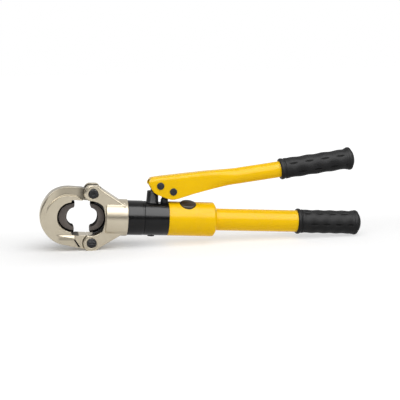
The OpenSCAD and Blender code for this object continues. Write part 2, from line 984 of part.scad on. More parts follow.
module lever_grip() {
  color(rubber)
    on_lever_tube()
      translate([lever_gap, 0, 0])
        turned_x()
          polygon([
            [lever_r + fit_gap, 0],
            [lever_grip_r + 0.2, 0],
            [lever_grip_r + 0.8, 1],
            [lever_grip_r + 0.8, 6],
            [lever_grip_r, 8],
            [lever_grip_r, lever_grip_len - 19],
            [lever_grip_r + 2.2, lever_grip_len - 15],
            [lever_grip_r + 2.2, lever_grip_len - 7],
            [lever_grip_r - 0.5, lever_grip_len - 3.5],
            [lever_grip_r - 6, lever_grip_len - 0.9],
            [0, lever_grip_len],
            [0, lever_grip_len - 5],
            [lever_r + fit_gap, lever_grip_len - 5]
          ]);
}

// A headed pin across the lever, with a clip groove at its far end
module cross_pin(x, z) {
  difference() {
    union() {
      bar_y(x, z, lever_pin_r, -lever_h - 0.2, lever_h + 2.4);
      bar_y(x, z, lever_pin_r + 1.1, -lever_h - 1.4, -lever_h);
    }
    ring_bar_y(x, z, lever_pin_r - 0.6, lever_pin_r + 1, lever_h + 0.1, lever_h + 1.4);
  }
}

// A flat retaining ring in a cross pin's groove
module cross_clip(x, z) {
  ring_bar_y(x, z, lever_pin_r - 0.6 + fit_gap, lever_pin_r + 1.7, lever_h + 0.1, lever_h + 1.3);
}

module fulcrum_pin() {
  color(black) cross_pin(fulcrum_x, fulcrum_z);
}

module fulcrum_clip() {
  color(steel) cross_clip(fulcrum_x, fulcrum_z);
}

module drive_pin() {
  color(black) cross_pin(drive_x, drive_z);
}

module drive_clip() {
  color(steel) cross_clip(drive_x, drive_z);
}

// Places children along the release button's axis
module on_button() {
  translate([button_x, 0, 0]) rotate([button_lean, 0, 0]) children();
}

module release_button() {
  color(black)
    on_button()
      difference() {
        intersection() {
          translate([0, 0, button_low]) cylinder(h = 20, r = button_r);
          translate([0, 0, button_top - 90]) sphere(r = 90.6, $fn = 192);
        }
        translate([0, 0, button_low - 1]) cylinder(h = 3, r = stem_r + fit_gap);
      }
}

module release_stem() {
  color(steel)
    on_button()
      union() {
        translate([0, 0, well_z - 2]) cylinder(h = button_low + 4 - well_z, r = stem_r);
        translate([0, 0, stem_low]) cylinder(h = well_z - 1 - stem_low, r = stem_tip_r);
      }
}

module release_spring() {
  color(steel)
    on_button()
      translate([0, 0, well_z])
        coil(4.9, 0.6, button_low - well_z, 4);
}

module release_ball() {
  color(steel) on_button() translate([0, 0, seat_z - release_drop]) sphere(r = release_ball_r);
}

head_fork();
hinge_pin();
hinge_pin_clip();
lock_pin();
lock_pin_clip();
c_jaw();
fixed_die();
fixed_die_catch();
moving_die();
moving_die_catch();
ram();
piston();
piston_seal();
piston_nut();
return_spring();
rod_bush();
rod_wiper();
cylinder_barrel();
swivel_ring();
barrel_seal();
pump_body();
relief_plug();
relief_ball();
relief_spring();
discharge_ball();
discharge_spring();
suction_ball();
suction_spring();
fulcrum_post();
plunger_gland();
plunger_seal();
pump_plunger();
body_sleeve();
reservoir_tube();
tube_plug();
reservoir_grip();
oil_bladder();
bladder_clamp();
lever_channel();
lever_tube();
lever_grip();
fulcrum_pin();
fulcrum_clip();
drive_pin();
drive_clip();
release_button();
release_stem();
release_spring();
release_ball();
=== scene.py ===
"""Looks of a hand-held hydraulic pipe crimping tool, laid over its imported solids.

All sizes are in metres. X runs along the ram axis from the crimping head towards the handles,
Y along the crimp bore and the head pins, Z up towards the pump lever.
"""

import json
import logging
import math
from dataclasses import dataclass, field
from enum import Enum
from functools import partial
from typing import Callable, Mapping, Sequence, Union

import bmesh
import bpy
from mathutils import Matrix, Vector


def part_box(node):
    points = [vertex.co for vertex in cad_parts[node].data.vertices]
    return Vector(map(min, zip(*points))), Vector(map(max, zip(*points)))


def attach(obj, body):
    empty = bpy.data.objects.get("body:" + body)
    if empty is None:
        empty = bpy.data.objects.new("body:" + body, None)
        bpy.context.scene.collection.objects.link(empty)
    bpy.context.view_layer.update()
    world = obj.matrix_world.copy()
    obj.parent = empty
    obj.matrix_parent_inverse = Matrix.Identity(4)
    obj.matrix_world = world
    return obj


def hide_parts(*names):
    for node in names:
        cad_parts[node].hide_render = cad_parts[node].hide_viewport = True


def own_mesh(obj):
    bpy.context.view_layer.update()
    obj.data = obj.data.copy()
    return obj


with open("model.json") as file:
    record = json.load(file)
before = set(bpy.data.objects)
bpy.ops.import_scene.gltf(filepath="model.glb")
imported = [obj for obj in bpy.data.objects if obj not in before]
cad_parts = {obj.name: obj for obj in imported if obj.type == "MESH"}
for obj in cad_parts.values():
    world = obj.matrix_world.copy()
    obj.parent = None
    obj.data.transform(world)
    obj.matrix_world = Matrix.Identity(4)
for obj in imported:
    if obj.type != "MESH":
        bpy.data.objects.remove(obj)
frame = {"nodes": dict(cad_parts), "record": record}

LOG = logging.getLogger("crimping_tool")
MM = 0.001
# Name of the mark of painted shade: a die's rim and bore, a grip's dimples.
RECESS = "recess"
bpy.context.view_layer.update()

Pair = tuple[float, float]
Triple = tuple[float, float, float]
Shape = Callable[[Vector], Vector]
Value = Union["Term", bpy.types.NodeSocket, float, int, Sequence[float]]
Inputs = Mapping[Union[str, int], Value]


class Body(Enum):
    """The bodies of the tool that move against each other."""

    FRAME = "body"
    HEAD = "head"
    LOCK = "lock"
    JAW = "jaw"
    RAM = "ram"
    PLUNGER = "plunger"
    LEVER = "lever"
    BUTTON = "button"


class Slot(Enum):
    """The material slots of the tool's record."""

    NICKEL = "nickel"
    BLACK_PAINT = "black_paint"
    BLACK_STEEL = "black_steel"
    YELLOW_PAINT = "yellow_paint"
    GRIP_RUBBER = "grip_rubber"
    SEAL_RUBBER = "seal_rubber"
    DIE_STEEL = "die_steel"
    PLAIN_STEEL = "plain_steel"
    BRONZE = "bronze"
    BUTTON_PLASTIC = "button_plastic"


def ease(value: float, band: Pair) -> float:
    """Goes softly from 0 at a band's low end to 1 at its high end."""
    share = min(1.0, max(0.0, (value - band[0]) / (band[1] - band[0])))
    return share * share * (3 - 2 * share)


class Term:
    """A number socket of a node tree that takes part in Python expressions."""

    def __init__(self, tree: "Tree", socket: bpy.types.NodeSocket) -> None:
        """Keeps an output socket and the tree that gets the nodes of an expression."""
        self.tree = tree
        self.socket = socket

    def _math(self, operation: str, first: Value, second: Value = 0.0) -> "Term":
        """Adds one Math node with its operation and its two values."""
        return self.tree.value("ShaderNodeMath", {"operation": operation}, {0: first, 1: second})

    def __add__(self, other: Value) -> "Term":
        """Adds a value."""
        return self._math("ADD", self, other)

    def __radd__(self, other: Value) -> "Term":
        """Adds this to a value."""
        return self._math("ADD", other, self)

    def __sub__(self, other: Value) -> "Term":
        """Takes a value away."""
        return self._math("SUBTRACT", self, other)

    def __rsub__(self, other: Value) -> "Term":
        """Takes this away from a value."""
        return self._math("SUBTRACT", other, self)

    def __mul__(self, other: Value) -> "Term":
        """Multiplies by a value."""
        return self._math("MULTIPLY", self, other)

    def __rmul__(self, other: Value) -> "Term":
        """Multiplies a value by this."""
        return self._math("MULTIPLY", other, self)

    def __truediv__(self, other: Value) -> "Term":
        """Divides by a value."""
        return self._math("DIVIDE", self, other)

    def __pow__(self, other: Value) -> "Term":
        """Raises to a power."""
        return self._math("POWER", self, other)

    def __abs__(self) -> "Term":
        """Drops the sign."""
        return self._math("ABSOLUTE", self)

    def floor(self) -> "Term":
        """Rounds down."""
        return self._math("FLOOR", self)

    def sine(self) -> "Term":
        """Takes the sine."""
        return self._math("SINE", self)

    def cosine(self) -> "Term":
        """Takes the cosine."""
        return self._math("COSINE", self)

    def angle(self, other: Value) -> "Term":
        """Gives the angle whose tangent is this over a value, all the way round."""
        return self._math("ARCTAN2", self, other)

    def above(self, other: Value) -> "Term":
        """Is 1 where this is greater than a value, and 0 elsewhere."""
        return self._math("GREATER_THAN", self, other)

    def rises(self, band: Pair) -> "Term":
        """Goes softly from 0 at a band's low end to 1 at its high end."""
        return self.tree.value("ShaderNodeMapRange", {"interpolation_type": "SMOOTHSTEP"},
                               {"Value": self, "From Min": band[0], "From Max": band[1]})

    def falls(self, band: Pair) -> "Term":
        """Goes softly from 1 at a band's low end to 0 at its high end."""
        return 1.0 - self.rises(band)


class Tree:
    """A node tree that is written as Python."""

    MIX_FACTOR, MIX_FIRST, MIX_SECOND, MIX_RESULT = 0, 6, 7, 2

    def __init__(self, nodes: bpy.types.NodeTree) -> None:
        """Empties a shader or geometry tree, to fill it anew."""
        self.nodes = nodes
        nodes.nodes.clear()

    def add(self, kind: str, settings: Mapping[str, object] | None = None,
            inputs: Inputs | None = None) -> bpy.types.Node:
        """Adds a node of any type.

        Args:
            kind: The node's type.
            settings: The node's own settings, set first.
            inputs: The values or links of its sockets, by name or number.

        Returns:
            The new node.
        """
        node = self.nodes.nodes.new(kind)
        for key, setting in (settings or {}).items():
            setattr(node, key, setting)
        for key, given in (inputs or {}).items():
            socket = node.inputs[key]
            source = given.socket if isinstance(given, Term) else given
            if isinstance(source, bpy.types.NodeSocket):
                self.nodes.links.new(source, socket)
            else:
                socket.default_value = source
        return node

    def value(self, kind: str, settings: Mapping[str, object] | None = None,
              inputs: Inputs | None = None, output: Union[str, int] = 0) -> Term:
        """Adds a node and gives one of its outputs, by name or number."""
        return Term(self, self.add(kind, settings, inputs).outputs[output])

    def axes(self, place: Value) -> list[Term]:
        """Splits coordinates into X, Y and Z."""
        parts = self.add("ShaderNodeSeparateXYZ", {}, {0: place})
        return [Term(self, part) for part in parts.outputs]

    def recess(self) -> Term:
        """Reads the piece's own mark of painted shade: on a die's rim and bore, or in a grip's
        dimple.
        """
        return self.value("ShaderNodeAttribute", {"attribute_name": RECESS}, {}, "Fac")

    def blend(self, factor: Value, first: Value, second: Value) -> bpy.types.NodeSocket:
        """Mixes two colours.

        Args:
            factor: Share of the second colour.
            first: The colour at 0.
            second: The colour at 1.

        Returns:
            The socket of the mixed colour.
        """
        first, second = ((*given, 1.0) if isinstance(given, tuple) else given
                         for given in (first, second))
        node = self.add("ShaderNodeMix", {"data_type": "RGBA"}, {
            self.MIX_FACTOR: factor, self.MIX_FIRST: first, self.MIX_SECOND: second})
        return node.outputs[self.MIX_RESULT]


@dataclass(frozen=True)
class Finish:
    """A finish: its colours, its gloss and its fine surface."""

    name: str
    colour: Triple
    second: Triple
    roughness: float
    spread: float = 0.06
    metallic: float = 0.0
    specular: float = 0.5
    coat: float = 0.0
    coat_roughness: float = 0.12
    patch_scale: float = 45.0
    patch_band: Pair = (0.3, 0.7)
    grain_scale: float = 1400.0
    grain_height: float = 0.00004
    grain_strength: float = 0.25

    def material(self) -> bpy.types.Material:
        """Makes the finish.

        Returns:
            The new material.
        """
        made = bpy.data.materials.new(self.name)
        made.use_nodes = True
        made.diffuse_color = (*self.colour, 1.0)
        tree = Tree(made.node_tree)
        place = tree.add("ShaderNodeTexCoord").outputs["Object"]
        patches = self.noise(tree, place, self.patch_scale, detail=4.0, rough=0.6)
        patches = patches.rises(self.patch_band)
        bump = tree.add("ShaderNodeBump", {}, {
            "Strength": self.grain_strength, "Distance": self.grain_height,
            "Height": self.height(tree, place)})
        surface = tree.add("ShaderNodeBsdfPrincipled", {}, {
            "Base Color": self.tint(tree, place, patches),
            "Roughness": self.gloss(tree, place, patches),
            "Metallic": self.metal(tree, place),
            "Specular IOR Level": self.specular,
            "Coat Weight": self.lacquer(tree),
            "Coat Roughness": self.coat_roughness,
            "Normal": bump.outputs["Normal"],
        })
        tree.add("ShaderNodeOutputMaterial", {}, {"Surface": surface.outputs["BSDF"]})
        return made

    @staticmethod
    def noise(tree: Tree, place: Value, scale: float, detail: float = 3.0,
              rough: float = 0.5) -> Term:
        """Adds a noise from 0 to 1, with its waves per metre, finer layers and their share."""
        return tree.value("ShaderNodeTexNoise", {}, {
            "Vector": place, "Scale": scale, "Detail": detail, "Roughness": rough}, "Fac")

    def metal(self, tree: Tree, place: Value) -> Value:
        """Gives how metallic the surface is."""
        return self.metallic

    def lacquer(self, tree: Tree) -> Value:
        """Gives the weight of the clear coat."""
        return self.coat

    def height(self, tree: Tree, place: Value) -> Term:
        """Gives the fine relief of the surface, from 0 to 1."""
        return self.noise(tree, place, self.grain_scale, detail=2.0)

    def tint(self, tree: Tree, place: Value, patches: Term) -> bpy.types.NodeSocket:
        """Gives the colour over the surface, which shifts with the broad patches."""
        return tree.blend(patches, self.colour, self.second)

    def gloss(self, tree: Tree, place: Value, patches: Term) -> Term:
        """Gives the roughness over the surface, which shifts with the broad patches."""
        return self.roughness + self.spread * (patches - 0.5)


@dataclass(frozen=True)
class ForgedNickel(Finish):
    """Satin nickel plate over a forged and blasted surface, with rubbing marks and painted shade.

    The pairs are the bands, in the tool's own coordinates, where painted shade fades in or out.
    """

    # Colour of the painted shade in the hinge, the arm and the pocket.
    painted_shade: Triple = (0.085, 0.075, 0.058)
    # Black of the painted shadow in the mouth and the slot, and how much duller it is.
    shadow_black: Triple = (0.012, 0.011, 0.009)
    shadow_dull: float = 0.55
    swell_scale: float = 160.0
    swell_share: float = 0.6
    mark_scale: float = 900.0
    mark_stretch: Triple = (0.12, 1.0, 1.0)
    mark_band: Pair = (0.45, 0.75)
    mark_spread: float = 0.04
    hinge_pin: Pair = (27.0 * MM, 37.47 * MM)
    hinge_round: Pair = (12.5 * MM, 20.5 * MM)
    hinge_deep: Pair = (8.0 * MM, 9.2 * MM)
    # Share of painted shade in the hinge's recess round the pin.
    hinge_shade: float = 0.9
    arm_face: Pair = (9.3 * MM, 13.3 * MM)
    arm_low: Pair = (20.0 * MM, 31.0 * MM)
    arm_end: Pair = (20.0 * MM, 26.0 * MM)
    # Share of painted shade on the milled arm's recessed face.
    arm_shade: float = 0.34
    crook_start: Pair = (2.0 * MM, 10.0 * MM)
    crook_end: Pair = (16.0 * MM, 18.0 * MM)
    crook_low: Pair = (27.0 * MM, 30.0 * MM)
    crook_face: Pair = (11.3 * MM, 14.5 * MM)
    ledge_low: Pair = (-35.0 * MM, -33.5 * MM)
    ledge_high: Pair = (-30.5 * MM, -29.0 * MM)
    ledge_start: Pair = (-24.0 * MM, -20.0 * MM)
    ledge_end: Pair = (2.0 * MM, 3.0 * MM)
    # Share of painted shade in the crook and on the pocket's ledge.
    pocket_shade: float = 0.4
    mouth_tall: Pair = (26.4 * MM, 26.9 * MM)
    mouth_start: Pair = (-4.0 * MM, -2.0 * MM)
    mouth_end: Pair = (6.0 * MM, 9.0 * MM)
    # Share of black painted shadow at the end of the mouth.
    mouth_shadow: float = 0.9
    slot: Pair = (1.45 * MM, -33.05 * MM)
    slot_lean: float = 57.0
    slot_wide: Pair = (0.9 * MM, 1.3 * MM)
    slot_start: Pair = (-0.4 * MM, 0.4 * MM)
    slot_end: Pair = (13.2 * MM, 14.0 * MM)
    slot_face: Pair = (14.6 * MM, 15.0 * MM)

    def height(self, tree: Tree, place: Value) -> Term:
        """Gives a fine blasted grain over a soft forged swell.

        Args:
            tree: The tree to add to.
            place: The object's coordinates.

        Returns:
            A height from 0 to 1.
        """
        grain = self.noise(tree, place, self.grain_scale, detail=3.0, rough=0.6)
        swell = self.noise(tree, place, self.swell_scale, detail=2.0)
        return grain * (1.0 - self.swell_share) + swell * self.swell_share

    def gloss(self, tree: Tree, place: Value, patches: Term) -> Term:
        """Adds fine rubbing marks along the tool to the broad patches, and dulls the black painted
        shadow.

        Args:
            tree: The tree to add to.
            place: The object's coordinates.
            patches: The broad patches.

        Returns:
            The roughness.
        """
        stretched = tree.add("ShaderNodeMapping", {}, {"Vector": place, "Scale": self.mark_stretch})
        marks = self.noise(tree, stretched.outputs["Vector"], self.mark_scale, detail=2.0)
        rubbed = self.mark_spread * (marks.rises(self.mark_band) - 0.5)
        return (self.roughness + self.spread * (patches - 0.5) + rubbed
                + self.shadow_dull * self.black(tree, place))

    def black(self, tree: Tree, place: Value) -> Term:
        """Gives where black painted shadow covers the plate: the shoulder's slot and the end of the
        mouth.

        Args:
            tree: The tree to add to.
            place: The object's coordinates.

        Returns:
            A value from 0 to 1.
        """
        x, y, z = tree.axes(place)
        # Painted shadow: black at the end of the mouth, where the die shades it.
        mouth = abs(z).falls(self.mouth_tall) * x.rises(self.mouth_start) * x.falls(self.mouth_end)
        lean = math.radians(self.slot_lean)
        slot_x, slot_z = x - self.slot[0], z - self.slot[1]
        along = slot_x * math.cos(lean) - slot_z * math.sin(lean)
        across = abs(slot_x * math.sin(lean) + slot_z * math.cos(lean))
        # Painted shade: black inside the shoulder's slot.
        slot = across.falls(self.slot_wide) * along.rises(self.slot_start)
        slot = slot * along.falls(self.slot_end) * abs(y).falls(self.slot_face)
        return slot + mouth * self.mouth_shadow

    def metal(self, tree: Tree, place: Value) -> Value:
        """Takes the bare metal away under the black painted shadow."""
        return self.metallic * (1.0 - self.black(tree, place))

    def tint(self, tree: Tree, place: Value, patches: Term) -> bpy.types.NodeSocket:
        """Paints shade in the hinge, the milled arm, the crook and the ledge, and black shadow in
        mouth and slot.

        Args:
            tree: The tree to add to.
            place: The object's coordinates.
            patches: The broad patches.

        Returns:
            The socket of the colour.
        """
        x, y, z = tree.axes(place)
        deep = abs(y)
        pin_x, pin_z = x - self.hinge_pin[0], z - self.hinge_pin[1]
        # Painted shade: the hinge's recess goes dark round the pin, where the ear shades it.
        hinge = ((pin_x * pin_x + pin_z * pin_z) ** 0.5).falls(self.hinge_round)
        hinge = hinge * deep.falls(self.hinge_deep) * self.hinge_shade
        # Painted shade on the milled arm's recessed face.
        arm = deep.falls(self.arm_face) * z.rises(self.arm_low) * x.falls(self.arm_end)
        # Painted shade in the crook by the ear, and on the pocket's ledge below.
        crook = x.rises(self.crook_start) * x.falls(self.crook_end)
        crook = crook * z.rises(self.crook_low) * deep.falls(self.crook_face)
        ledge = z.rises(self.ledge_low) * z.falls(self.ledge_high)
        ledge = ledge * x.rises(self.ledge_start) * x.falls(self.ledge_end)
        # Mixes in the painted shade colour, then the black painted shadow of the mouth and the
        # slot.
        shaded_plate = tree.blend(arm * self.arm_shade + (crook + ledge) * self.pocket_shade,
                          tree.blend(patches, self.colour, self.second), self.painted_shade)
        shaded_plate = tree.blend(hinge, shaded_plate, self.painted_shade)
        return tree.blend(self.black(tree, place), shaded_plate, self.shadow_black)


@dataclass(frozen=True)
class SprayedPaint(Finish):
    """Paint with a fine orange peel and tiny specks of dust."""

    dust_scale: float = 5200.0
    dust_band: Pair = (0.72, 0.8)
    dust_share: float = 0.35

    def height(self, tree: Tree, place: Value) -> Term:
        """Gives the orange peel and a little dust under the paint."""
        dust = self.noise(tree, place, self.dust_scale, detail=0.0).rises(self.dust_band)
        return self.noise(tree, place, self.grain_scale, detail=1.0) + dust * self.dust_share


@dataclass(frozen=True)
class TurnedSteel(Finish):
    """Steel with fine turning rings about the tool's long axis."""

    rings: float = 1500.0
    ring_share: float = 0.3
    wobble_scale: float = 90.0
    wobble: float = 4.0

    def height(self, tree: Tree, place: Value) -> Term:
        """Gives rings along X, broken up by a fine grain.

        Args:
            tree: The tree to add to.
            place: The object's coordinates.

        Returns:
            The relief's height.
        """
        turns = tree.axes(place)[0] * (self.rings * math.tau)
        wobble = self.noise(tree, place, self.wobble_scale, detail=1.0) * self.wobble
        grain = self.noise(tree, place, self.grain_scale, detail=2.0)
        return (turns + wobble).sine() * self.ring_share + grain


@dataclass(frozen=True)
class MouldedRubber(Finish):
    """Matte moulded rubber with a fine spark grain, pale rubbed spots and dimples painted black as
    shade.
    """

    # Black of the painted shade in the dimples.
    painted_shade: Triple = (0.0015, 0.0015, 0.0015)
    dimple_band: Pair = (0.25, 0.7)
    dimple_dull: float = 0.35
    fleck_scale: float = 700.0
    fleck_band: Pair = (0.5, 0.8)
    fleck_share: float = 0.4
    swell_scale: float = 320.0
    swell_share: float = 0.6

    def tint(self, tree: Tree, place: Value, patches: Term) -> bpy.types.NodeSocket:
        """Lets the rubbed spots go paler in small flecks, and paints the dimples black as shade.

        Args:
            tree: The tree to add to.
            place: The object's coordinates.
            patches: The broad patches.

        Returns:
            The socket of the colour.
        """
        flecks = self.noise(tree, place, self.fleck_scale, detail=4.0, rough=0.7)
        flecks = flecks.rises(self.fleck_band) * self.fleck_share
        rubbed = tree.blend(patches * (1.0 - self.fleck_share) + flecks,
                            self.colour, self.second)
        # Painted shade: the dimples go black.
        return tree.blend(tree.recess().rises(self.dimple_band), rubbed, self.painted_shade)

    def gloss(self, tree: Tree, place: Value, patches: Term) -> Term:
        """Keeps the dimples matte."""
        dimples = tree.recess().rises(self.dimple_band)
        return self.roughness + self.spread * (patches - 0.5) + self.dimple_dull * dimples

    def height(self, tree: Tree, place: Value) -> Term:
        """Gives a fine pebbled grain.

        Args:
            tree: The tree to add to.
            place: The object's coordinates.

        Returns:
            The relief's height.
        """
        pebbles = tree.value("ShaderNodeTexVoronoi", {}, {
            "Vector": place, "Scale": self.grain_scale}, "Distance")
        swell = self.noise(tree, place, self.swell_scale, detail=2.0)
        return pebbles + swell * self.swell_share


@dataclass(frozen=True)
class PhosphatedSteel(Finish):
    """Dark phosphated steel with a mottled crystal coat, and black painted shade on each die's rim
    and bore.
    """

    # Black of the painted shade on each die's rim and bore.
    die_shade_black: Triple = (0.004, 0.004, 0.004)
    mottle_scale: float = 420.0
    mottle_band: Pair = (0.35, 0.7)
    mottle_share: float = 0.6

    def tint(self, tree: Tree, place: Value, patches: Term) -> bpy.types.NodeSocket:
        """Mottles the colour finely, and blackens the rim and the bore as painted shade.

        Args:
            tree: The tree to add to.
            place: The object's coordinates.
            patches: The broad patches.

        Returns:
            The socket of the colour.
        """
        mottle = self.noise(tree, place, self.mottle_scale, detail=5.0, rough=0.7)
        mottle = mottle.rises(self.mottle_band) * self.mottle_share
        face = tree.blend(patches * (1.0 - self.mottle_share) + mottle,
                          self.colour, self.second)
        # Painted shade: the rim and the bore go black.
        return tree.blend(tree.recess(), face, self.die_shade_black)

    def lacquer(self, tree: Tree) -> Value:
        """Keeps the sheen off the rim and the bore, so their painted shade stays black."""
        return self.coat * (1.0 - tree.recess())


class Paintbox:
    """Makes each finish once and hands it out by slot."""

    FINISHES: Mapping[Slot, Finish] = {
        Slot.NICKEL: ForgedNickel(
            "satin_nickel", (0.572, 0.512, 0.4), (0.552, 0.492, 0.38), 0.33, 0.04, 0.95,
            grain_scale=2600.0, grain_height=0.00012, grain_strength=0.3),
        Slot.BLACK_PAINT: SprayedPaint(
            "semi_gloss_black", (0.003, 0.003, 0.0034), (0.005, 0.005, 0.0055), 0.22, 0.06,
            specular=0.24, grain_scale=900.0, grain_strength=0.1),
        Slot.BLACK_STEEL: TurnedSteel(
            "black_oxide", (0.008, 0.0085, 0.01), (0.016, 0.016, 0.018), 0.36, 0.12,
            specular=0.32, grain_scale=1800.0),
        Slot.YELLOW_PAINT: SprayedPaint(
            "yellow_powder_coat", (0.885, 0.535, 0.001), (0.855, 0.51, 0.001), 0.26, 0.05,
            specular=0.115, grain_scale=650.0, grain_strength=0.12),
        Slot.GRIP_RUBBER: MouldedRubber(
            "grip_rubber", (0.006, 0.006, 0.0063), (0.013, 0.013, 0.0135), 0.52, 0.1,
            specular=0.14, grain_scale=1500.0, grain_height=0.0001),
        Slot.SEAL_RUBBER: MouldedRubber(
            "seal_rubber", (0.012, 0.012, 0.012), (0.022, 0.022, 0.022), 0.5, 0.08,
            grain_scale=2200.0),
        Slot.DIE_STEEL: PhosphatedSteel(
            "phosphated_steel", (0.095, 0.08, 0.073), (0.135, 0.117, 0.106), 0.56, 0.14,
            specular=0.0, coat=0.35, coat_roughness=0.5, grain_scale=1900.0,
            grain_height=0.00008, grain_strength=0.3),
        Slot.PLAIN_STEEL: TurnedSteel(
            "ground_steel", (0.56, 0.56, 0.57), (0.48, 0.48, 0.49), 0.3, 0.1, 1.0),
        Slot.BRONZE: TurnedSteel(
            "bearing_bronze", (0.55, 0.36, 0.16), (0.47, 0.30, 0.13), 0.36, 0.1, 1.0),
        Slot.BUTTON_PLASTIC: MouldedRubber(
            "button_plastic", (0.018, 0.014, 0.012), (0.03, 0.023, 0.019), 0.36, 0.1,
            grain_scale=2400.0),
    }

    def __init__(self) -> None:
        """Starts with no finish made."""
        self._made: dict[Slot, bpy.types.Material] = {}

    def __getitem__(self, slot: Slot) -> bpy.types.Material:
        """Gives a slot's material, and makes it the first time.

        Args:
            slot: The wanted slot.

        Returns:
            Its material.
        """
        if slot not in self._made:
            self._made[slot] = self.FINISHES[slot].material()
        return self._made[slot]


class Bench:
    """Turns meshes into finished pieces that ride on the tool's bodies."""

    WELD = 2e-6
    FLAT_DEG = 0.4
    SHARP_DEG = 32.0
    EVENING = 0.5

    def __init__(self, paints: Paintbox) -> None:
        """Keeps the paintbox, and a list of pieces for each finish."""
        self.paints = paints
        self.pieces: dict[Slot, list[bpy.types.Object]] = {slot: [] for slot in Slot}

    @staticmethod
    def link(name: str, data: bpy.types.ID) -> bpy.types.Object:
        """Puts a mesh, a lamp or a camera in the scene.

        Args:
            name: The object's name.
            data: What it shows, with a mesh already in place.

        Returns:
            The new object.
        """
        piece = bpy.data.objects.new(name, data)
        bpy.context.scene.collection.objects.link(piece)
        return piece

    @staticmethod
    def bake(piece: bpy.types.Object) -> None:
        """Turns a piece and its modifiers into a plain mesh.

        Args:
            piece: The object whose modifiers are applied and removed.
        """
        graph = bpy.context.evaluated_depsgraph_get()
        mesh = bpy.data.meshes.new_from_object(
            piece.evaluated_get(graph), preserve_all_data_layers=True, depsgraph=graph)
        piece.modifiers.clear()
        piece.data = mesh

    @staticmethod
    def smooth(mesh: bpy.types.Mesh, angle: float = SHARP_DEG) -> None:
        """Shades a mesh smooth, but for the edges sharper than an angle in degrees."""
        mesh.shade_smooth()
        mesh.set_sharp_from_angle(angle=math.radians(angle))

    @staticmethod
    def reshape(piece: bpy.types.Object, shape: Shape) -> None:
        """Moves each point of a piece's surface."""
        for corner in piece.data.vertices:
            corner.co = shape(corner.co)

    def soften(self, piece: bpy.types.Object, width: float, segments: int = 2,
               angle: float = SHARP_DEG) -> None:
        """Rounds the sharp edges of a piece.

        Args:
            piece: The object to round.
            width: Width of the rounding.
            segments: Facets across the rounding.
            angle: Edges sharper than this are rounded, in degrees.
        """
        rounding = piece.modifiers.new("rounding", "BEVEL")
        rounding.width = width
        rounding.segments = segments
        rounding.limit_method = "ANGLE"
        rounding.angle_limit = math.radians(angle)
        rounding.use_clamp_overlap = False
        rounding.miter_outer = "MITER_ARC"
        self.bake(piece)
        self.smooth(piece.data)

    def merged(self, node: str) -> bpy.types.Mesh:
        """Copies a CAD node's mesh and joins its loose facets.

        Args:
            node: The CAD node's name.

        Returns:
            The new mesh, with flat faces in one piece.
        """
        mesh = frame["nodes"][node].data.copy()
        mesh.materials.clear()
        work = bmesh.new()
        work.from_mesh(mesh)
        bmesh.ops.remove_doubles(work, verts=work.verts, dist=self.WELD)
        bmesh.ops.dissolve_limit(work, angle_limit=math.radians(self.FLAT_DEG),
                                 verts=work.verts, edges=work.edges)
        work.to_mesh(mesh)
        work.free()
        return mesh

    def forged_node(self, node: str, slot: Slot, body: Body, grid: float, passes: int,
                    shape: Shape) -> bpy.types.Object:
        """Replaces a CAD node by a copy with the soft edges of a forging.

        Args:
            node: The CAD node's name.
            slot: The finish that it takes.
            body: The body that it rides on.
            grid: Size of the even facets that the copy is rebuilt from.
            passes: How often the corners are evened out.
            shape: Moves a point of the surface, before the corners are evened out.

        Returns:
            The new piece.
        """
        piece = self.link(node + "_forged", self.merged(node))
        facets = piece.modifiers.new("facets", "REMESH")
        facets.mode = "VOXEL"
        facets.voxel_size = grid
        self.bake(piece)
        self.reshape(piece, shape)
        evening = piece.modifiers.new("evening", "SMOOTH")
        evening.factor = self.EVENING
        evening.iterations = passes
        self.bake(piece)
        piece.data.shade_smooth()
        return self.finish(piece, slot, body, [node])

    def softened_node(self, node: str, slot: Slot, body: Body, width: float, segments: int = 2,
                      shape: Shape | None = None,
                      mark: Callable[[Vector], float] | None = None) -> bpy.types.Object:
        """Replaces a CAD node by a copy with rounded edges.

        Args:
            node: The CAD node's name.
            slot: The finish that it takes.
            body: The body that it rides on.
            width: Width of the rounding.
            segments: Facets across the rounding.
            shape: Moves a point of the rounded surface.
            mark: Says how much black painted shade a point takes before it is moved, from 0 to 1.

        Returns:
            The new piece.
        """
        piece = self.link(node + "_soft", self.merged(node))
        self.soften(piece, width, segments)
        if mark is not None:
            layer = piece.data.attributes.new(RECESS, "FLOAT", "POINT")
            layer.data.foreach_set("value", [mark(corner.co) for corner in piece.data.vertices])
        if shape is not None:
            self.reshape(piece, shape)
        return self.finish(piece, slot, body, [node])

    def finish(self, piece: bpy.types.Object, slot: Slot, body: Body,
               names: Sequence[str] = ()) -> bpy.types.Object:
        """Paints a piece and sets it on its body.

        Args:
            piece: The finished object.
            slot: The finish that it takes.
            body: The body that it rides on.
            names: The CAD nodes that it stands for.

        Returns:
            The same piece.
        """
        piece.data.materials.clear()
        piece.data.materials.append(self.paints[slot])
        self.pieces[slot].append(piece)
        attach(piece, body.value)
        if names:
            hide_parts(*names)
        LOG.info("%s on %s, %d faces", piece.name, body.value, len(piece.data.polygons))
        return piece

    def dress_nodes(self) -> None:
        """Paints every CAD node that still shows."""
        for row in frame["record"]["subparts"]:
            node = frame["nodes"][row["node"]]
            if node.hide_render:
                continue
            node.data.materials.clear()
            node.data.materials.append(self.paints[Slot(row["material_slot"])])
            LOG.info("%s dressed as %s", row["node"], row["material_slot"])


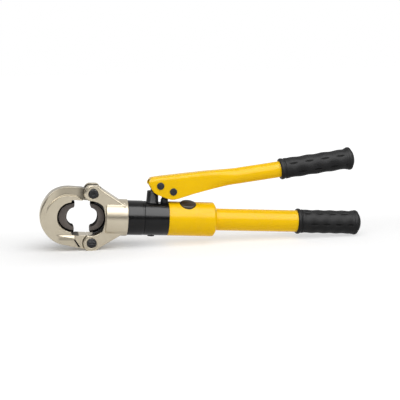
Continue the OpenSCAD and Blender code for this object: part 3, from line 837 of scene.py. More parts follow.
class Turning:
    """Makes round shapes about the X axis."""

    MERGE = 1e-7

    @staticmethod
    def skin(work: bmesh.types.BMesh, rings: Sequence[Sequence[bmesh.types.BMVert]]) -> None:
        """Spans faces from each ring of corners to the next.

        Args:
            work: The mesh in the making.
            rings: Closed rings with the same number of corners.
        """
        for first, second in zip(rings, rings[1:]):
            for i, corner in enumerate(first):
                j = (i + 1) % len(first)
                work.faces.new((corner, first[j], second[j], second[i]))

    @staticmethod
    def closed(work: bmesh.types.BMesh, name: str) -> bpy.types.Mesh:
        """Turns the faces of a closed shape outwards.

        Args:
            work: The mesh in the making, which ends here.
            name: The new mesh's name.

        Returns:
            The finished mesh.
        """
        bmesh.ops.recalc_face_normals(work, faces=work.faces)
        mesh = bpy.data.meshes.new(name)
        work.to_mesh(mesh)
        work.free()
        return mesh

    @classmethod
    def profile(cls, points: Sequence[Pair], steps: int) -> bpy.types.Mesh:
        """Turns a profile about the X axis.

        Args:
            points: Pairs of X and radius along the profile.
            steps: Facets round the axis.

        Returns:
            The turned mesh, closed where the profile meets the axis.
        """
        work = bmesh.new()
        turns = [math.tau * i / steps for i in range(steps)]
        rings = [[work.verts.new((x, radius * math.sin(turn), radius * math.cos(turn)))
                  for turn in turns] for x, radius in points]
        cls.skin(work, rings)
        bmesh.ops.remove_doubles(work, verts=work.verts, dist=cls.MERGE)
        return cls.closed(work, "turned")

    @staticmethod
    def resample(points: Sequence[Pair], pitch: float) -> list[Pair]:
        """Adds points along a profile where they are far apart.

        Args:
            points: Pairs of X and radius.
            pitch: Longest way between two points.

        Returns:
            The denser profile.
        """
        dense = [points[0]]
        for (x0, r0), (x1, r1) in zip(points, points[1:]):
            count = max(1, math.ceil(math.hypot(x1 - x0, r1 - r0) / pitch))
            dense += [(x0 + (x1 - x0) * k / count, r0 + (r1 - r0) * k / count)
                      for k in range(1, count + 1)]
        return dense

    @staticmethod
    def arc(centre: Pair, radii: Pair, start: float, end: float, count: int) -> list[Pair]:
        """Gives points on part of an ellipse.

        Args:
            centre: Its centre, as X and radius.
            radii: Its half sizes along X and across.
            start: First angle, in degrees from +X towards the outside.
            end: Last angle.
            count: Number of points.

        Returns:
            The points in order.
        """
        turns = [math.radians(start + (end - start) * k / (count - 1)) for k in range(count)]
        return [(centre[0] + radii[0] * math.cos(turn), centre[1] + radii[1] * math.sin(turn))
                for turn in turns]


class GeometryTree(Tree):
    """A geometry tree with named inputs, run on one object and baked into its mesh."""

    KINDS = {float: "NodeSocketFloat", int: "NodeSocketInt",
             bpy.types.Material: "NodeSocketMaterial"}

    def __init__(self, name: str, sizes: Mapping[str, object]) -> None:
        """Makes the tree and its inputs.

        Args:
            name: The tree's name.
            sizes: The inputs' names and values.
        """
        super().__init__(bpy.data.node_groups.new(name, "GeometryNodeTree"))
        sockets = self.nodes.interface
        sockets.new_socket("Geometry", in_out="INPUT", socket_type="NodeSocketGeometry")
        self.keys: dict[str, str] = {}
        self.sizes = dict(sizes)
        for key, given in sizes.items():
            kind = next(k for t, k in self.KINDS.items() if isinstance(given, t))
            made = sockets.new_socket(key, in_out="INPUT", socket_type=kind)
            self.keys[key] = made.identifier
        sockets.new_socket("Geometry", in_out="OUTPUT", socket_type="NodeSocketGeometry")
        self.entry = self.add("NodeGroupInput")

    def size(self, key: str) -> Term:
        """Gives one of the tree's inputs."""
        return Term(self, self.entry.outputs[key])

    def close(self, geometry: bpy.types.NodeSocket) -> None:
        """Ends the tree in real geometry with a finish on it.

        Args:
            geometry: The socket of the geometry to hand out.
        """
        shaded = self.add("GeometryNodeSetShadeSmooth", {}, {"Geometry": geometry})
        real = self.add("GeometryNodeRealizeInstances", {}, {"Geometry": shaded.outputs[0]})
        painted = self.add("GeometryNodeSetMaterial", {}, {
            "Geometry": real.outputs[0], "Material": self.size("Finish")})
        self.add("NodeGroupOutput", {}, {"Geometry": painted.outputs[0]})

    def run(self, piece: bpy.types.Object) -> None:
        """Runs the tree on an object and keeps the result as its mesh.

        Args:
            piece: The object to change.
        """
        step = piece.modifiers.new(self.nodes.name, "NODES")
        step.node_group = self.nodes
        for key, given in self.sizes.items():
            step[self.keys[key]] = given
        Bench.bake(piece)


@dataclass
class Grip:
    """A moulded rubber hand grip with collars, a domed end and rows of long dimples."""

    name: str
    node: str
    body: Body
    tube: float
    radius: float
    length: float
    front_rise: float
    front_len: float
    end_rise: float
    end_len: float
    dome: float
    pitch: float
    depth: float
    first: float
    row_shift: float
    rows: int = 6
    swell: float = 0.9 * MM
    squeeze: float = 0.2 * MM
    bead_tall: float = 0.55
    bead_foot: float = 0.1 * MM
    groove: Triple = (0.7 * MM, 1.9 * MM, 2.6 * MM)
    groove_depth: float = 0.9 * MM
    flange_start: float = 3.4 * MM
    flange_foot: Pair = (1.2 * MM, 0.3)
    flange_tall: float = 0.3
    flange_step: Pair = (0.2 * MM, 0.45)
    dome_inset: float = 0.55
    lens_half: float = 9.6 * MM
    lens_wide: float = 2.3 * MM
    lens_power: float = 1.6
    lens_band: Pair = (0.0, 0.9)
    end_gap: float = 0.5 * MM
    fade_in: Pair = (3.0 * MM, 8.0 * MM)
    fade_out: Pair = (0.0, 4.0 * MM)
    facet: float = 0.9 * MM
    steps: int = 144

    def outline(self) -> list[Pair]:
        """Gives the grip's profile from its front lip to the middle of its dome.

        Returns:
            Pairs of X and radius.
        """
        lip, out = self.front_len, self.radius
        end = out + self.end_rise
        bead = lip / 2
        bead_mid = out + self.front_rise - bead * self.bead_tall
        flange = self.length - self.dome - self.end_len
        flange_rise = self.end_len * self.flange_tall
        points = [(0.0, self.tube - self.squeeze), (0.0, bead_mid)]
        points += Turning.arc((bead, bead_mid), (bead, bead * self.bead_tall),
                              start=180, end=40, count=8)
        points += [(lip, out - self.bead_foot)]
        points += [(lip + way, out - self.groove_depth) for way in self.groove[:2]]
        points += [(lip + self.groove[2], out), (flange - self.flange_start, out),
                   (flange - self.flange_foot[0], out + self.flange_foot[1] * self.end_rise)]
        points += Turning.arc((flange + self.end_len / 2, end - flange_rise),
                              (self.end_len / 2, flange_rise), start=150, end=10, count=9)
        points += [(flange + self.end_len + self.flange_step[0],
                    end - self.end_len * self.flange_step[1])]
        points += Turning.arc((flange + self.end_len, 0.0),
                              (self.dome, end - self.end_len * self.dome_inset),
                              start=86, end=0, count=12)
        return points

    def dimples(self, finish: bpy.types.Material) -> GeometryTree:
        """Makes the tree that presses the long dimples into the grip.

        Args:
            finish: The grip's material.

        Returns:
            The tree, with its sizes as inputs.
        """
        tree = GeometryTree(self.name + "_dimples", {
            "Pitch": self.pitch, "Rows": float(self.rows), "Depth": self.depth,
            "Radius": self.radius, "Start": self.first - self.pitch / 2,
            "End": self.length - self.dome - self.end_len - self.end_gap,
            "Half Length": self.lens_half, "Half Width": self.lens_wide, "Swell": self.swell,
            "Finish": finish})
        size = tree.size
        x, y, z = tree.axes(tree.add("GeometryNodeInputPosition").outputs[0])
        row = (y.angle(z) / math.tau + 0.5) * size("Rows") + self.row_shift
        index = row.floor()
        odd = index - (index * 0.5).floor() * 2.0
        way = (x - size("Start")) / size("Pitch")
        along = way + odd * 0.5
        cell = along - along.floor() - 0.5
        across = (row - index - 0.5) / size("Rows") * (math.tau * self.radius)
        far = abs(cell * size("Pitch") / size("Half Length")) ** self.lens_power
        wide = abs(across / size("Half Width")) ** self.lens_power
        inside = (x - size("Start")).rises(self.fade_in) * (size("End") - x).rises(self.fade_out)
        recess = (1.0 - far - wide).rises(self.lens_band) * inside
        wave = (way * math.tau).cosine() * (row * math.pi).sine()
        hollow = (0.5 - wave * 0.5) * inside * size("Swell")
        press = (recess * size("Depth") + hollow) / size("Radius")
        shift = tree.add("ShaderNodeCombineXYZ", {}, {1: y * press * -1.0, 2: z * press * -1.0})
        # Keeps the dimple mask on the mesh, so the finish paints the dimples black as shade.
        marked = tree.add("GeometryNodeStoreNamedAttribute",
                          {"data_type": "FLOAT", "domain": "POINT"},
                          {"Geometry": tree.entry.outputs["Geometry"], "Name": RECESS,
                           "Value": recess})
        moved = tree.add("GeometryNodeSetPosition", {}, {
            "Geometry": marked.outputs[0], "Offset": shift.outputs[0]})
        tree.close(moved.outputs[0])
        return tree

    def build(self, bench: Bench, place: Matrix) -> bpy.types.Object:
        """Makes the grip and sets it on its tube.

        Args:
            bench: Paints it and sets it on its body.
            place: Moves the grip from the origin to its tube.

        Returns:
            The finished grip.
        """
        mesh = Turning.profile(Turning.resample(self.outline(), self.facet), self.steps)
        piece = Bench.link(self.name, mesh)
        self.dimples(bench.paints[Slot.GRIP_RUBBER]).run(piece)
        piece.data.transform(place)
        return bench.finish(piece, Slot.GRIP_RUBBER, self.body, [self.node])


@dataclass
class Coil:
    """A round-wire coil spring in the place of a plain one."""

    node: str
    body: Body
    base: Triple
    axis: Triple
    ring: float
    wire: float
    height: float
    turns: int
    turn_steps: int = 28
    wire_steps: int = 10

    def build(self, bench: Bench) -> bpy.types.Object:
        """Winds the spring.

        Args:
            bench: Paints it and sets it on its body.

        Returns:
            The finished spring.
        """
        tree = GeometryTree(self.node + "_winding", {
            "Ring": self.ring, "Wire": self.wire, "Height": self.height - 2 * self.wire,
            "Turns": self.turns, "Finish": bench.paints[Slot.PLAIN_STEEL]})
        line = tree.add("GeometryNodeCurveSpiral", {}, {
            "Resolution": self.turn_steps, "Rotations": tree.size("Turns"),
            "Start Radius": tree.size("Ring"), "End Radius": tree.size("Ring"),
            "Height": tree.size("Height")})
        ring = tree.add("GeometryNodeCurvePrimitiveCircle", {}, {
            "Resolution": self.wire_steps, "Radius": tree.size("Wire")})
        wire = tree.add("GeometryNodeCurveToMesh", {}, {
            "Curve": line.outputs[0], "Profile Curve": ring.outputs[0], "Fill Caps": True})
        tree.close(wire.outputs[0])
        piece = Bench.link(self.node + "_coil", bpy.data.meshes.new(self.node))
        tree.run(piece)
        turn = Vector((0, 0, 1)).rotation_difference(Vector(self.axis)).to_matrix().to_4x4()
        lift = Matrix.Translation((0, 0, self.wire))
        piece.data.transform(Matrix.Translation(self.base) @ turn @ lift)
        return bench.finish(piece, Slot.PLAIN_STEEL, self.body, [self.node])


@dataclass
class Head:
    """The fork, the jaw, their pins and the dies.

    The bands are where a forging's shape is drawn away from its plain solid.
    """

    grid: float = 0.55 * MM
    passes: int = 8
    die_edge: float = 0.45 * MM
    pin_edge: float = 0.5 * MM
    pin: Pair = (27.0 * MM, 37.47 * MM)
    ear: float = 13.0 * MM
    fork_half: float = 17.5 * MM
    web: tuple[Pair, Pair] = ((33.0 * MM, 48.47 * MM), (74.97 * MM, 22.0 * MM))
    ear_round: float = 4.4 * MM
    web_round: float = 2.6 * MM
    ear_lift: float = 1.7 * MM
    ear_drop: float = 0.8 * MM
    ear_reach: float = 1.6 * MM
    ear_near: Pair = (33.0 * MM, 47.0 * MM)
    ear_top: Pair = (42.0 * MM, 48.0 * MM)
    ear_foot: Pair = (43.0 * MM, 48.0 * MM)
    ear_left: Pair = (14.0 * MM, 21.0 * MM)
    ear_low: Pair = (24.0 * MM, 30.0 * MM)
    collar_reach: float = 5.0 * MM
    collar_near: Pair = (40.0 * MM, 52.0 * MM)
    collar_far: Pair = (54.0 * MM, 70.0 * MM)
    collar_face: Pair = (16.2 * MM, 16.8 * MM)
    collar_tall: Pair = (20.0 * MM, 25.0 * MM)
    jaw: Pair = (-5.5 * MM, 43.5 * MM)
    jaw_half: float = 15.0 * MM
    jaw_round: float = 3.0 * MM
    jaw_rim: float = 0.8
    bow_reach: float = 2.6 * MM
    bow_lift: float = 1.0 * MM
    bow_near: Pair = (-14.0 * MM, 16.0 * MM)
    bow_low: Pair = (5.0 * MM, 25.0 * MM)
    bow_slack: float = 0.35
    arm_lift: float = 1.6 * MM
    arm_low: Pair = (22.0 * MM, 36.0 * MM)
    arm_near: Pair = (8.0 * MM, 20.0 * MM)
    bore: float = 12.5 * MM
    bore_edge: float = 0.15 * MM
    # Share of black painted shade in a die's bore.
    bore_shade: float = 0.85
    bore_flat: float = 0.09
    bore_tall: float = 0.14
    die_rim: float = 20.75 * MM
    rim_edge: float = 0.1 * MM
    rim_wall: float = 0.3 * MM
    die_open: float = 24.0 * MM
    die_sink: float = 0.62
    die_back: float = 1.2
    die_lift: float = 0.5 * MM
    fixed_reach: float = 2.7 * MM
    moving_reach: float = 0.6 * MM
    tiny: float = 1e-6

    @staticmethod
    def rounded(inset: float, depth: float, radius: float) -> Pair:
        """Rounds the corner between a face and a side wall.

        Args:
            inset: How far a point lies inside the side wall.
            depth: How far it lies under the face.
            radius: Radius of the rounding.

        Returns:
            The inset and the depth of the same point on the rounded corner.
        """
        across, down = radius - inset, radius - depth
        reach = math.hypot(max(across, 0.0), max(down, 0.0))
        if across <= 0 or down <= 0 or reach <= radius:
            return inset, depth
        return radius - across * radius / reach, radius - down * radius / reach

    def shape_fork(self, point: Vector) -> Vector:
        """Rounds the outer corners of the fork's ears and webs.

        Args:
            point: A point of the fork's surface.

        Returns:
            The point on the rounded fork.
        """
        side = math.copysign(1.0, point.z)
        face = math.copysign(1.0, point.y)
        flat = Vector((point.x, point.z * side))
        pin = Vector(self.pin)
        depth = self.fork_half - abs(point.y)
        start, end = (Vector(corner) for corner in self.web)
        along = (end - start).normalized()
        outward = Vector((-along.y, along.x))
        radius = self.web_round
        if point.x < self.pin[0] and flat.y > self.pin[1] - self.ear:
            inset = self.ear - (flat - pin).length
            outward = (flat - pin).normalized()
            radius = self.ear_round if side > 0 else self.web_round
        elif start.x < point.x < end.x:
            inset = -(flat - start).dot(outward)
        else:
            return self.reach_fork(point)
        new_inset, new_depth = self.rounded(inset, depth, radius)
        moved = flat + outward * (inset - new_inset)
        return self.reach_fork(
            Vector((moved.x, face * (self.fork_half - new_depth), moved.y * side)))

    def reach_fork(self, point: Vector) -> Vector:
        """Draws the collar forward over the pocket and the ears outwards.

        Args:
            point: A point of the fork's surface.

        Returns:
            The point in its final place.
        """
        x, y, z = point
        collar = ease(x, self.collar_near) * (1 - ease(x, self.collar_far))
        collar *= ease(abs(y), self.collar_face) * (1 - ease(abs(z), self.collar_tall))
        near = 1 - ease(x, self.ear_near)
        left = (1 - ease(x, self.ear_left)) * ease(z, self.ear_low)
        lift = self.ear_lift * ease(z, self.ear_top) - self.ear_drop * ease(-z, self.ear_foot)
        return Vector((x - self.collar_reach * collar - self.ear_reach * left, y,
                       z + near * lift))

    def shape_jaw(self, point: Vector) -> Vector:
        """Rounds the outer corner of the jaw's bow.

        Args:
            point: A point of the jaw's surface.

        Returns:
            The point on the rounded jaw.
        """
        centre, radius = self.jaw
        flat = Vector((point.x - centre, point.z))
        if flat.x > 0 or flat.length < radius * self.jaw_rim:
            return self.reach_jaw(point)
        inset, depth = self.rounded(radius - flat.length, self.jaw_half - abs(point.y),
                                    self.jaw_round)
        moved = flat.normalized() * (radius - inset)
        return self.reach_jaw(
            Vector((moved.x + centre, math.copysign(self.jaw_half - depth, point.y), moved.y)))

    def reach_jaw(self, point: Vector) -> Vector:
        """Draws the jaw's bow forward and its upper arm up.

        Args:
            point: A point of the jaw's surface.

        Returns:
            The point in its final place.
        """
        x, y, z = point
        bow = 1 - ease(x, self.bow_near)
        arm = ease(z, self.arm_low) * (1 - ease(x, self.arm_near))
        reach = self.bow_reach * bow * (1 - self.bow_slack * ease(-z, self.bow_low))
        return Vector((x - reach, y, z + self.bow_lift * bow + self.arm_lift * arm))

    def die_shade(self, point: Vector, mouth: float) -> float:
        """Says how much black painted shade a point of a die takes.

        Args:
            point: A point of the die's surface.
            mouth: X of the die's open side.

        Returns:
            1 on the rim, a little less in the bore, and 0 on the faces.
        """
        # Painted shade: the rim goes black as if the seat's shadow lay there, and the bore nearly
        # so.
        radius = math.hypot(point.x - mouth, point.z)
        if radius > self.die_rim - self.rim_edge:
            return 1.0
        return self.bore_shade * (radius < self.bore + self.bore_edge)

    def reach_die(self, point: Vector, mouth: float, back: float) -> Vector:
        """Sinks a die's near face under its rim, sets its far face forward and opens its bore.

        Args:
            point: A point of the die's surface.
            mouth: X of the die's open side; the fixed die lies at its left.
            back: How far the rim reaches back.

        Returns:
            The point in its final place.
        """
        x, y, z = point
        side = -1.0 if mouth < self.die_open / 2 else 1.0
        deep = (x - mouth) * side
        radius = max(self.tiny, math.hypot(deep, z))
        outer = ease(radius, (self.bore, self.die_rim))
        face = self.die_sink if y < 0 else self.die_back
        if radius > self.die_rim + self.rim_wall:
            face = 1.0
        reach = back * outer * max(0.0, deep / radius)
        deep = deep * (1.0 - self.bore_flat * (1.0 - outer)) + reach
        tall = 1.0 + self.bore_tall * (1.0 - outer)
        return Vector((mouth + side * deep, y * face, z * tall + self.die_lift))

    def build(self, bench: Bench) -> None:
        """Makes the head's pieces.

        Args:
            bench: Paints them and sets them on their bodies.
        """
        for node, body, shape in (("head_fork", Body.HEAD, self.shape_fork),
                                  ("c_jaw", Body.JAW, self.shape_jaw)):
            bench.forged_node(node, Slot.NICKEL, body, self.grid, self.passes, shape)
        for node, body, mouth, back in (
                ("fixed_die", Body.JAW, 0.0, self.fixed_reach),
                ("moving_die", Body.RAM, self.die_open, self.moving_reach)):
            bench.softened_node(node, Slot.DIE_STEEL, body, self.die_edge,
                                shape=partial(self.reach_die, mouth=mouth, back=back),
                                mark=partial(self.die_shade, mouth=mouth))
        for node, body, edge in (("ram", Body.RAM, self.die_edge),
                                 ("hinge_pin", Body.HEAD, self.pin_edge),
                                 ("lock_pin", Body.LOCK, self.pin_edge)):
            bench.softened_node(node, Slot.BLACK_STEEL, body, edge)


@dataclass
class Pump:
    """The cylinder barrel, the pump body and what stands on it."""

    edge: float = 0.5 * MM
    small_edge: float = 0.3 * MM
    plunger_edge: float = 0.15 * MM
    post_edge: float = 0.8 * MM
    post_x: float = 118.07 * MM
    post_low: float = 24.0 * MM
    post_top: float = 42.5 * MM
    post_run: float = 18.4 * MM
    post_wide: float = 1.03
    flare: float = 0.1
    joint_x: float = 103.0 * MM
    joint_end: float = 108.2 * MM
    joint: float = 26.15 * MM
    joint_wall: float = 2.0 * MM
    joint_groove: float = 0.5 * MM
    joint_facet: float = 0.8 * MM
    joint_steps: int = 144

    def flared(self, point: Vector) -> Vector:
        """Widens the post towards its foot.

        Args:
            point: A point of the post.

        Returns:
            The same point of the wider post.
        """
        if point.z > self.post_top or point.z < self.post_low:
            return point
        share = 1.0 - (point.z - self.post_low) / self.post_run
        grow = self.post_wide + self.flare * share * share
        return Vector((self.post_x + (point.x - self.post_x) * grow, point.y * grow, point.z))

    def joint_ring(self, bench: Bench) -> bpy.types.Object:
        """Fills the joint between the barrel and the body but for a fine groove.

        Args:
            bench: Paints it and sets it on its body.

        Returns:
            The finished ring.
        """
        near, end, out, groove = self.joint_x, self.joint_end, self.joint, self.joint_groove
        middle = (near + end) / 2
        low = out - self.joint_wall
        points = [(near, low), (near, out), (middle - groove, out), (middle, out - groove),
                  (middle + groove, out), (end, out), (end, low), (near, low)]
        dense = Turning.resample(points, self.joint_facet)
        piece = Bench.link("barrel_joint_ring", Turning.profile(dense, self.joint_steps))
        Bench.smooth(piece.data)
        return bench.finish(piece, Slot.BLACK_PAINT, Body.FRAME)

    def build(self, bench: Bench) -> None:
        """Makes the pump's pieces.

        Args:
            bench: Paints them and sets them on their bodies.
        """
        for node in ("cylinder_barrel", "pump_body"):
            bench.softened_node(node, Slot.BLACK_PAINT, Body.FRAME, self.edge)
        self.joint_ring(bench)
        for node, body, edge, shape in (
                ("relief_plug", Body.FRAME, self.small_edge, None),
                ("fulcrum_post", Body.FRAME, self.post_edge, self.flared),
                ("plunger_gland", Body.FRAME, self.small_edge, None),
                ("pump_plunger", Body.PLUNGER, self.plunger_edge, None)):
            bench.softened_node(node, Slot.BLACK_STEEL, body, edge, shape=shape)


@dataclass
class Handle:
    """The sleeve, the reservoir tube and its grip."""

    sleeve_x: float = 142.47 * MM
    sleeve_end: float = 216.5 * MM
    sleeve: float = 26.3 * MM
    sleeve_rim: float = 0.8 * MM
    sleeve_facet: float = 2.5 * MM
    sleeve_steps: int = 160
    sleeve_deg: float = 28.0
    shoulder_x: float = 4.9 * MM
    shoulder: Pair = (3.0 * MM, 3.2 * MM)
    shoulder_deg: float = 38.0
    toe: float = 2.0 * MM
    toe_rise: float = 3.6 * MM
    seat: Pair = (6.0 * MM, 8.0 * MM)
    core: float = 24.82 * MM
    hole: float = 12.8 * MM
    hole_x: float = 172.07 * MM
    hole_flare: float = 2.4 * MM
    hole_run: Triple = (14.0 * MM, 24.0 * MM, 50.0 * MM)
    hole_steps: int = 96
    lean: float = 18.0
    grip_x: float = 347.07 * MM
    tube: float = 17.02 * MM
    tube_bore: float = 15.0 * MM
    tube_facet: float = 4.0 * MM
    tube_steps: int = 128
    neck: float = 16.2 * MM
    neck_run: float = 1.0 * MM
    grip: Grip = field(default_factory=lambda: Grip(
        "reservoir_grip_rubber", "reservoir_grip", Body.FRAME, tube=17.0 * MM, radius=18.5 * MM,
        length=104.5 * MM, front_rise=1.5 * MM, front_len=5.5 * MM, end_rise=0.9 * MM,
        end_len=7.0 * MM, dome=5.6 * MM, pitch=20.0 * MM, depth=0.8 * MM, first=15.2 * MM,
        row_shift=0.1))

    def sleeve_outline(self) -> list[Pair]:
        """Gives the sleeve's closed profile, with a soft shoulder at its far end.

        Returns:
            Pairs of X and radius.
        """
        near, end, out, rim = self.sleeve_x, self.sleeve_end, self.sleeve, self.sleeve_rim
        points = [(near, self.core)]
        points += Turning.arc((near + rim, out - rim), (rim, rim), start=180, end=90, count=5)
        points += Turning.arc((end - self.shoulder_x, out - self.shoulder[1]), self.shoulder,
                              start=90, end=self.shoulder_deg, count=7)
        points += Turning.arc((end - self.toe, self.tube + self.toe_rise), (self.toe, self.toe),
                              start=self.shoulder_deg, end=0, count=5)
        points += [(end, self.tube), (end - self.seat[0], self.tube),
                   (end - self.seat[1], self.core), (near, self.core)]
        return Turning.resample(points, self.sleeve_facet)

    def make_sleeve(self, bench: Bench) -> bpy.types.Object:
        """Turns the sleeve and cuts the button's hole.

        Args:
            bench: Paints it and sets it on its body.

        Returns:
            The finished sleeve.
        """
        shell = Turning.profile(self.sleeve_outline(), self.sleeve_steps)
        piece = Bench.link("sleeve_shell", shell)
        low, top, over = self.hole_run
        drill = Turning.profile([(low, 0.0), (low, self.hole), (top, self.hole),
                                 (over, self.hole + self.hole_flare), (over, 0.0)],
                                self.hole_steps)
        turn = (Matrix.Rotation(math.radians(self.lean), 4, "X")
                @ Matrix.Rotation(math.radians(-90), 4, "Y"))
        drill.transform(Matrix.Translation((self.hole_x, 0, 0)) @ turn)
        cutter = Bench.link("sleeve_drill", drill)
        cut = piece.modifiers.new("hole", "BOOLEAN")
        cut.operation = "DIFFERENCE"
        cut.solver = "EXACT"
        cut.object = cutter
        Bench.bake(piece)
        bpy.data.objects.remove(cutter)
        Bench.smooth(piece.data, self.sleeve_deg)
        return bench.finish(piece, Slot.YELLOW_PAINT, Body.FRAME, ["body_sleeve"])

    def make_tube(self, bench: Bench) -> bpy.types.Object:
        """Turns the reservoir tube, necked down where the grip's dimples press in.

        Args:
            bench: Paints it and sets it on its body.

        Returns:
            The finished tube.
        """
        (near, _, _), (end, high, _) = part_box("reservoir_tube")
        neck = self.grip_x + self.grip.front_len
        points = [(near, self.tube_bore), (near, high), (neck - self.neck_run, high),
                  (neck, self.neck), (end, self.neck), (end, self.tube_bore),
                  (near, self.tube_bore)]
        dense = Turning.resample(points, self.tube_facet)
        piece = Bench.link("reservoir_tube_soft", Turning.profile(dense, self.tube_steps))
        Bench.smooth(piece.data)
        return bench.finish(piece, Slot.YELLOW_PAINT, Body.FRAME, ["reservoir_tube"])

    def build(self, bench: Bench) -> None:
        """Makes the handle's pieces.

        Args:
            bench: Paints them and sets them on their body.
        """
        self.make_sleeve(bench)
        self.make_tube(bench)
        self.grip.build(bench, Matrix.Translation((self.grip_x, 0.0, 0.0)))


@dataclass
class Station:
    """One cross-section of the lever's loft."""

    middle: Vector
    up: Vector
    half: float
    leg: float
    closing: float


@dataclass
class Lever:
    """The pressed lever that runs from an open channel into a round tube, its pins and its grip.

    The belly, the stops and the tube's stops are in millimetres: the channel's lower edge as
    pairs of X and Z, and where the loft's cross-sections stand.
    """

    fulcrum: Pair = (128.07 * MM, 51.6 * MM)
    weld: Pair = (249.97 * MM, 69.5 * MM)
    rise: float = 8.1
    tube_rise: float = 10.4
    half: float = 13.0 * MM
    tube: float = 12.5 * MM
    wall: float = 3.2 * MM
    top: float = 12.8 * MM
    end: float = 109.9 * MM
    grip_at: float = 66.0 * MM
    drop: float = -3.2 * MM
    crown: float = 0.9 * MM
    close_x: float = 190.0 * MM
    shortest_leg: float = 0.3 * MM
    slant: float = 4.0 * MM
    slant_depth: float = 7.0 * MM
    slant_run: float = 16.0 * MM
    pinch: float = 2.8 * MM
    pinch_run: float = 12.0 * MM
    flatness: float = 2.0
    arc_steps: int = 18
    leg_steps: int = 12
    edge: float = 0.7 * MM
    edge_deg: float = 40.0
    pin_edge: float = 0.5 * MM
    merge: float = 1e-6
    belly: tuple[Pair, ...] = (
        (109.9, 61.0), (110.6, 57.5), (112.7, 53.0), (115.6, 48.0), (119.3, 43.9), (123.9, 41.2),
        (131.5, 38.1), (139.8, 35.5), (145.0, 34.0), (149.5, 34.0), (155.6, 35.5), (168.0, 39.8),
        (182.0, 44.7), (196.0, 48.7), (210.0, 51.4), (225.0, 53.6), (252.2, 58.3))
    stops: tuple[float, ...] = (
        109.9, 110.3, 110.8, 111.6, 112.7, 114.0, 115.6, 117.4, 119.3, 121.5, 123.9, 127.5, 131.5,
        135.5, 139.8, 142.5, 145.0, 147.2, 149.5, 152.5, 155.6, 161.0, 168.0, 175.0, 182.0, 189.0,
        196.0, 203.0, 210.0, 217.0, 225.0, 232.0, 239.0, 245.0)
    tube_stops: tuple[float, ...] = (2.0, 10.0, 25.0, 45.0, 75.0, 120.0, 181.0)
    grip: Grip = field(default_factory=lambda: Grip(
        "lever_grip_rubber", "lever_grip", Body.LEVER, tube=12.5 * MM, radius=16.1 * MM,
        length=120.0 * MM, front_rise=0.5 * MM, front_len=6.0 * MM, end_rise=1.9 * MM,
        end_len=7.0 * MM, dome=4.8 * MM, pitch=25.4 * MM, depth=0.9 * MM, first=20.4 * MM,
        row_shift=0.457))

    def belly_z(self, x: float) -> float:
        """Gives the height of the channel's lower edge.

        Args:
            x: Place along the tool.

        Returns:
            The height.
        """
        rows = [(a * MM, b * MM + self.drop) for a, b in self.belly]
        for (x0, z0), (x1, z1) in zip(rows, rows[1:]):
            if x <= x1:
                return z0 + (z1 - z0) * max(0.0, (x - x0) / (x1 - x0))
        return rows[-1][1]

    def section(self, half: float, leg: float, closing: float) -> list[Pair]:
        """Gives half of a channel's outline, from the middle of its top to the end of its leg.

        Args:
            half: Half width.
            leg: Length of the leg under the round top.
            closing: From 0, a straight leg, to 1, a leg that closes into a circle.

        Returns:
            Pairs of Y and height above the middle of the round top.
        """
        quarter = math.pi / 2
        power = 2.0 / (2.0 + self.flatness * (1.0 - closing))
        turns = [quarter * k / self.arc_steps for k in range(self.arc_steps + 1)]
        points = [(half * math.sin(turn) ** power, half * max(0.0, math.cos(turn)) ** power)
                  for turn in turns]
        points[-1] = (half, 0.0)
        for k in range(1, self.leg_steps + 1):
            share = k / self.leg_steps
            y, z = half * math.cos(quarter * share), -half * math.sin(quarter * share)
            points.append((half + (y - half) * closing, -leg * share + (z + leg * share) * closing))
        return points

    def ring(self, station: Station) -> list[Pair]:
        """Gives the whole closed outline of the wall at one station.

        Args:
            station: The loft's cross-section.

        Returns:
            Pairs of Y and height, outside first and then back along the inside.
        """
        outside, inside = (self.section(half, station.leg, station.closing)
                           for half in (station.half, station.half - self.wall))
        loop = [(-y, z) for y, z in reversed(outside)] + outside[1:]
        return loop + list(reversed(inside)) + [(-y, z) for y, z in inside[1:]]

    def stations(self) -> list[Station]:
        """Lists the cross-sections of the loft.

        Returns:
            Those of the channel, and then those of the tube.
        """
        rise, angle = math.radians(self.rise), math.radians(self.tube_rise)
        rows = []
        for x in (stop * MM for stop in self.stops):
            share = min(1.0, max(0.0, (x - self.close_x) / (self.weld[0] - self.close_x)))
            closing = ease(x, (self.close_x, self.weld[0]))
            half = self.half + (self.tube - self.half) * share
            half -= self.pinch * max(0.0, 1.0 - (x - self.end) / self.pinch_run) ** 2
            peak = self.fulcrum[1] + self.top / math.cos(rise)
            peak += (x - self.fulcrum[0]) * math.tan(rise)
            peak += self.crown * (1.0 - closing)
            leg = max(self.shortest_leg, peak - half - self.belly_z(x))
            rows.append(Station(Vector((x, 0, peak - half)), Vector((0, 0, 1)), half, leg, closing))
        along = Vector((math.cos(angle), 0, math.sin(angle)))
        up = Vector((-math.sin(angle), 0, math.cos(angle)))
        base = Vector((self.weld[0], 0, self.weld[1]))
        for stop in self.tube_stops:
            rows.append(Station(base + along * (stop * MM), up, self.tube, self.tube, 1.0))
        return rows

    def shell(self) -> bpy.types.Mesh:
        """Lofts the lever from its open end to the end of its tube.

        Returns:
            The closed mesh.
        """
        work = bmesh.new()
        rings = []
        for station in self.stations():
            fade = max(0.0, 1.0 - (station.middle.x - self.end) / self.slant_run)
            ring = []
            for y, z in self.ring(station):
                high = min(1.0, max(0.0, (z - station.half) / self.slant_depth + 1.0))
                back = Vector((self.slant * fade * high, y, 0))
                ring.append(work.verts.new(station.middle + back + station.up * z))
            rings.append(ring)
        Turning.skin(work, rings)
        last = len(rings[0]) - 1
        for ring in (rings[0], rings[-1]):
            for i in range((last - 1) // 2):
                work.faces.new((ring[i], ring[i + 1], ring[last - 1 - i], ring[last - i]))
        bmesh.ops.remove_doubles(work, verts=work.verts, dist=self.merge)
        seam = [f for f in work.faces if all(abs(v.co.y) < self.merge for v in f.verts)]
        bmesh.ops.delete(work, geom=seam, context="FACES")
        return Turning.closed(work, "lever_shell")

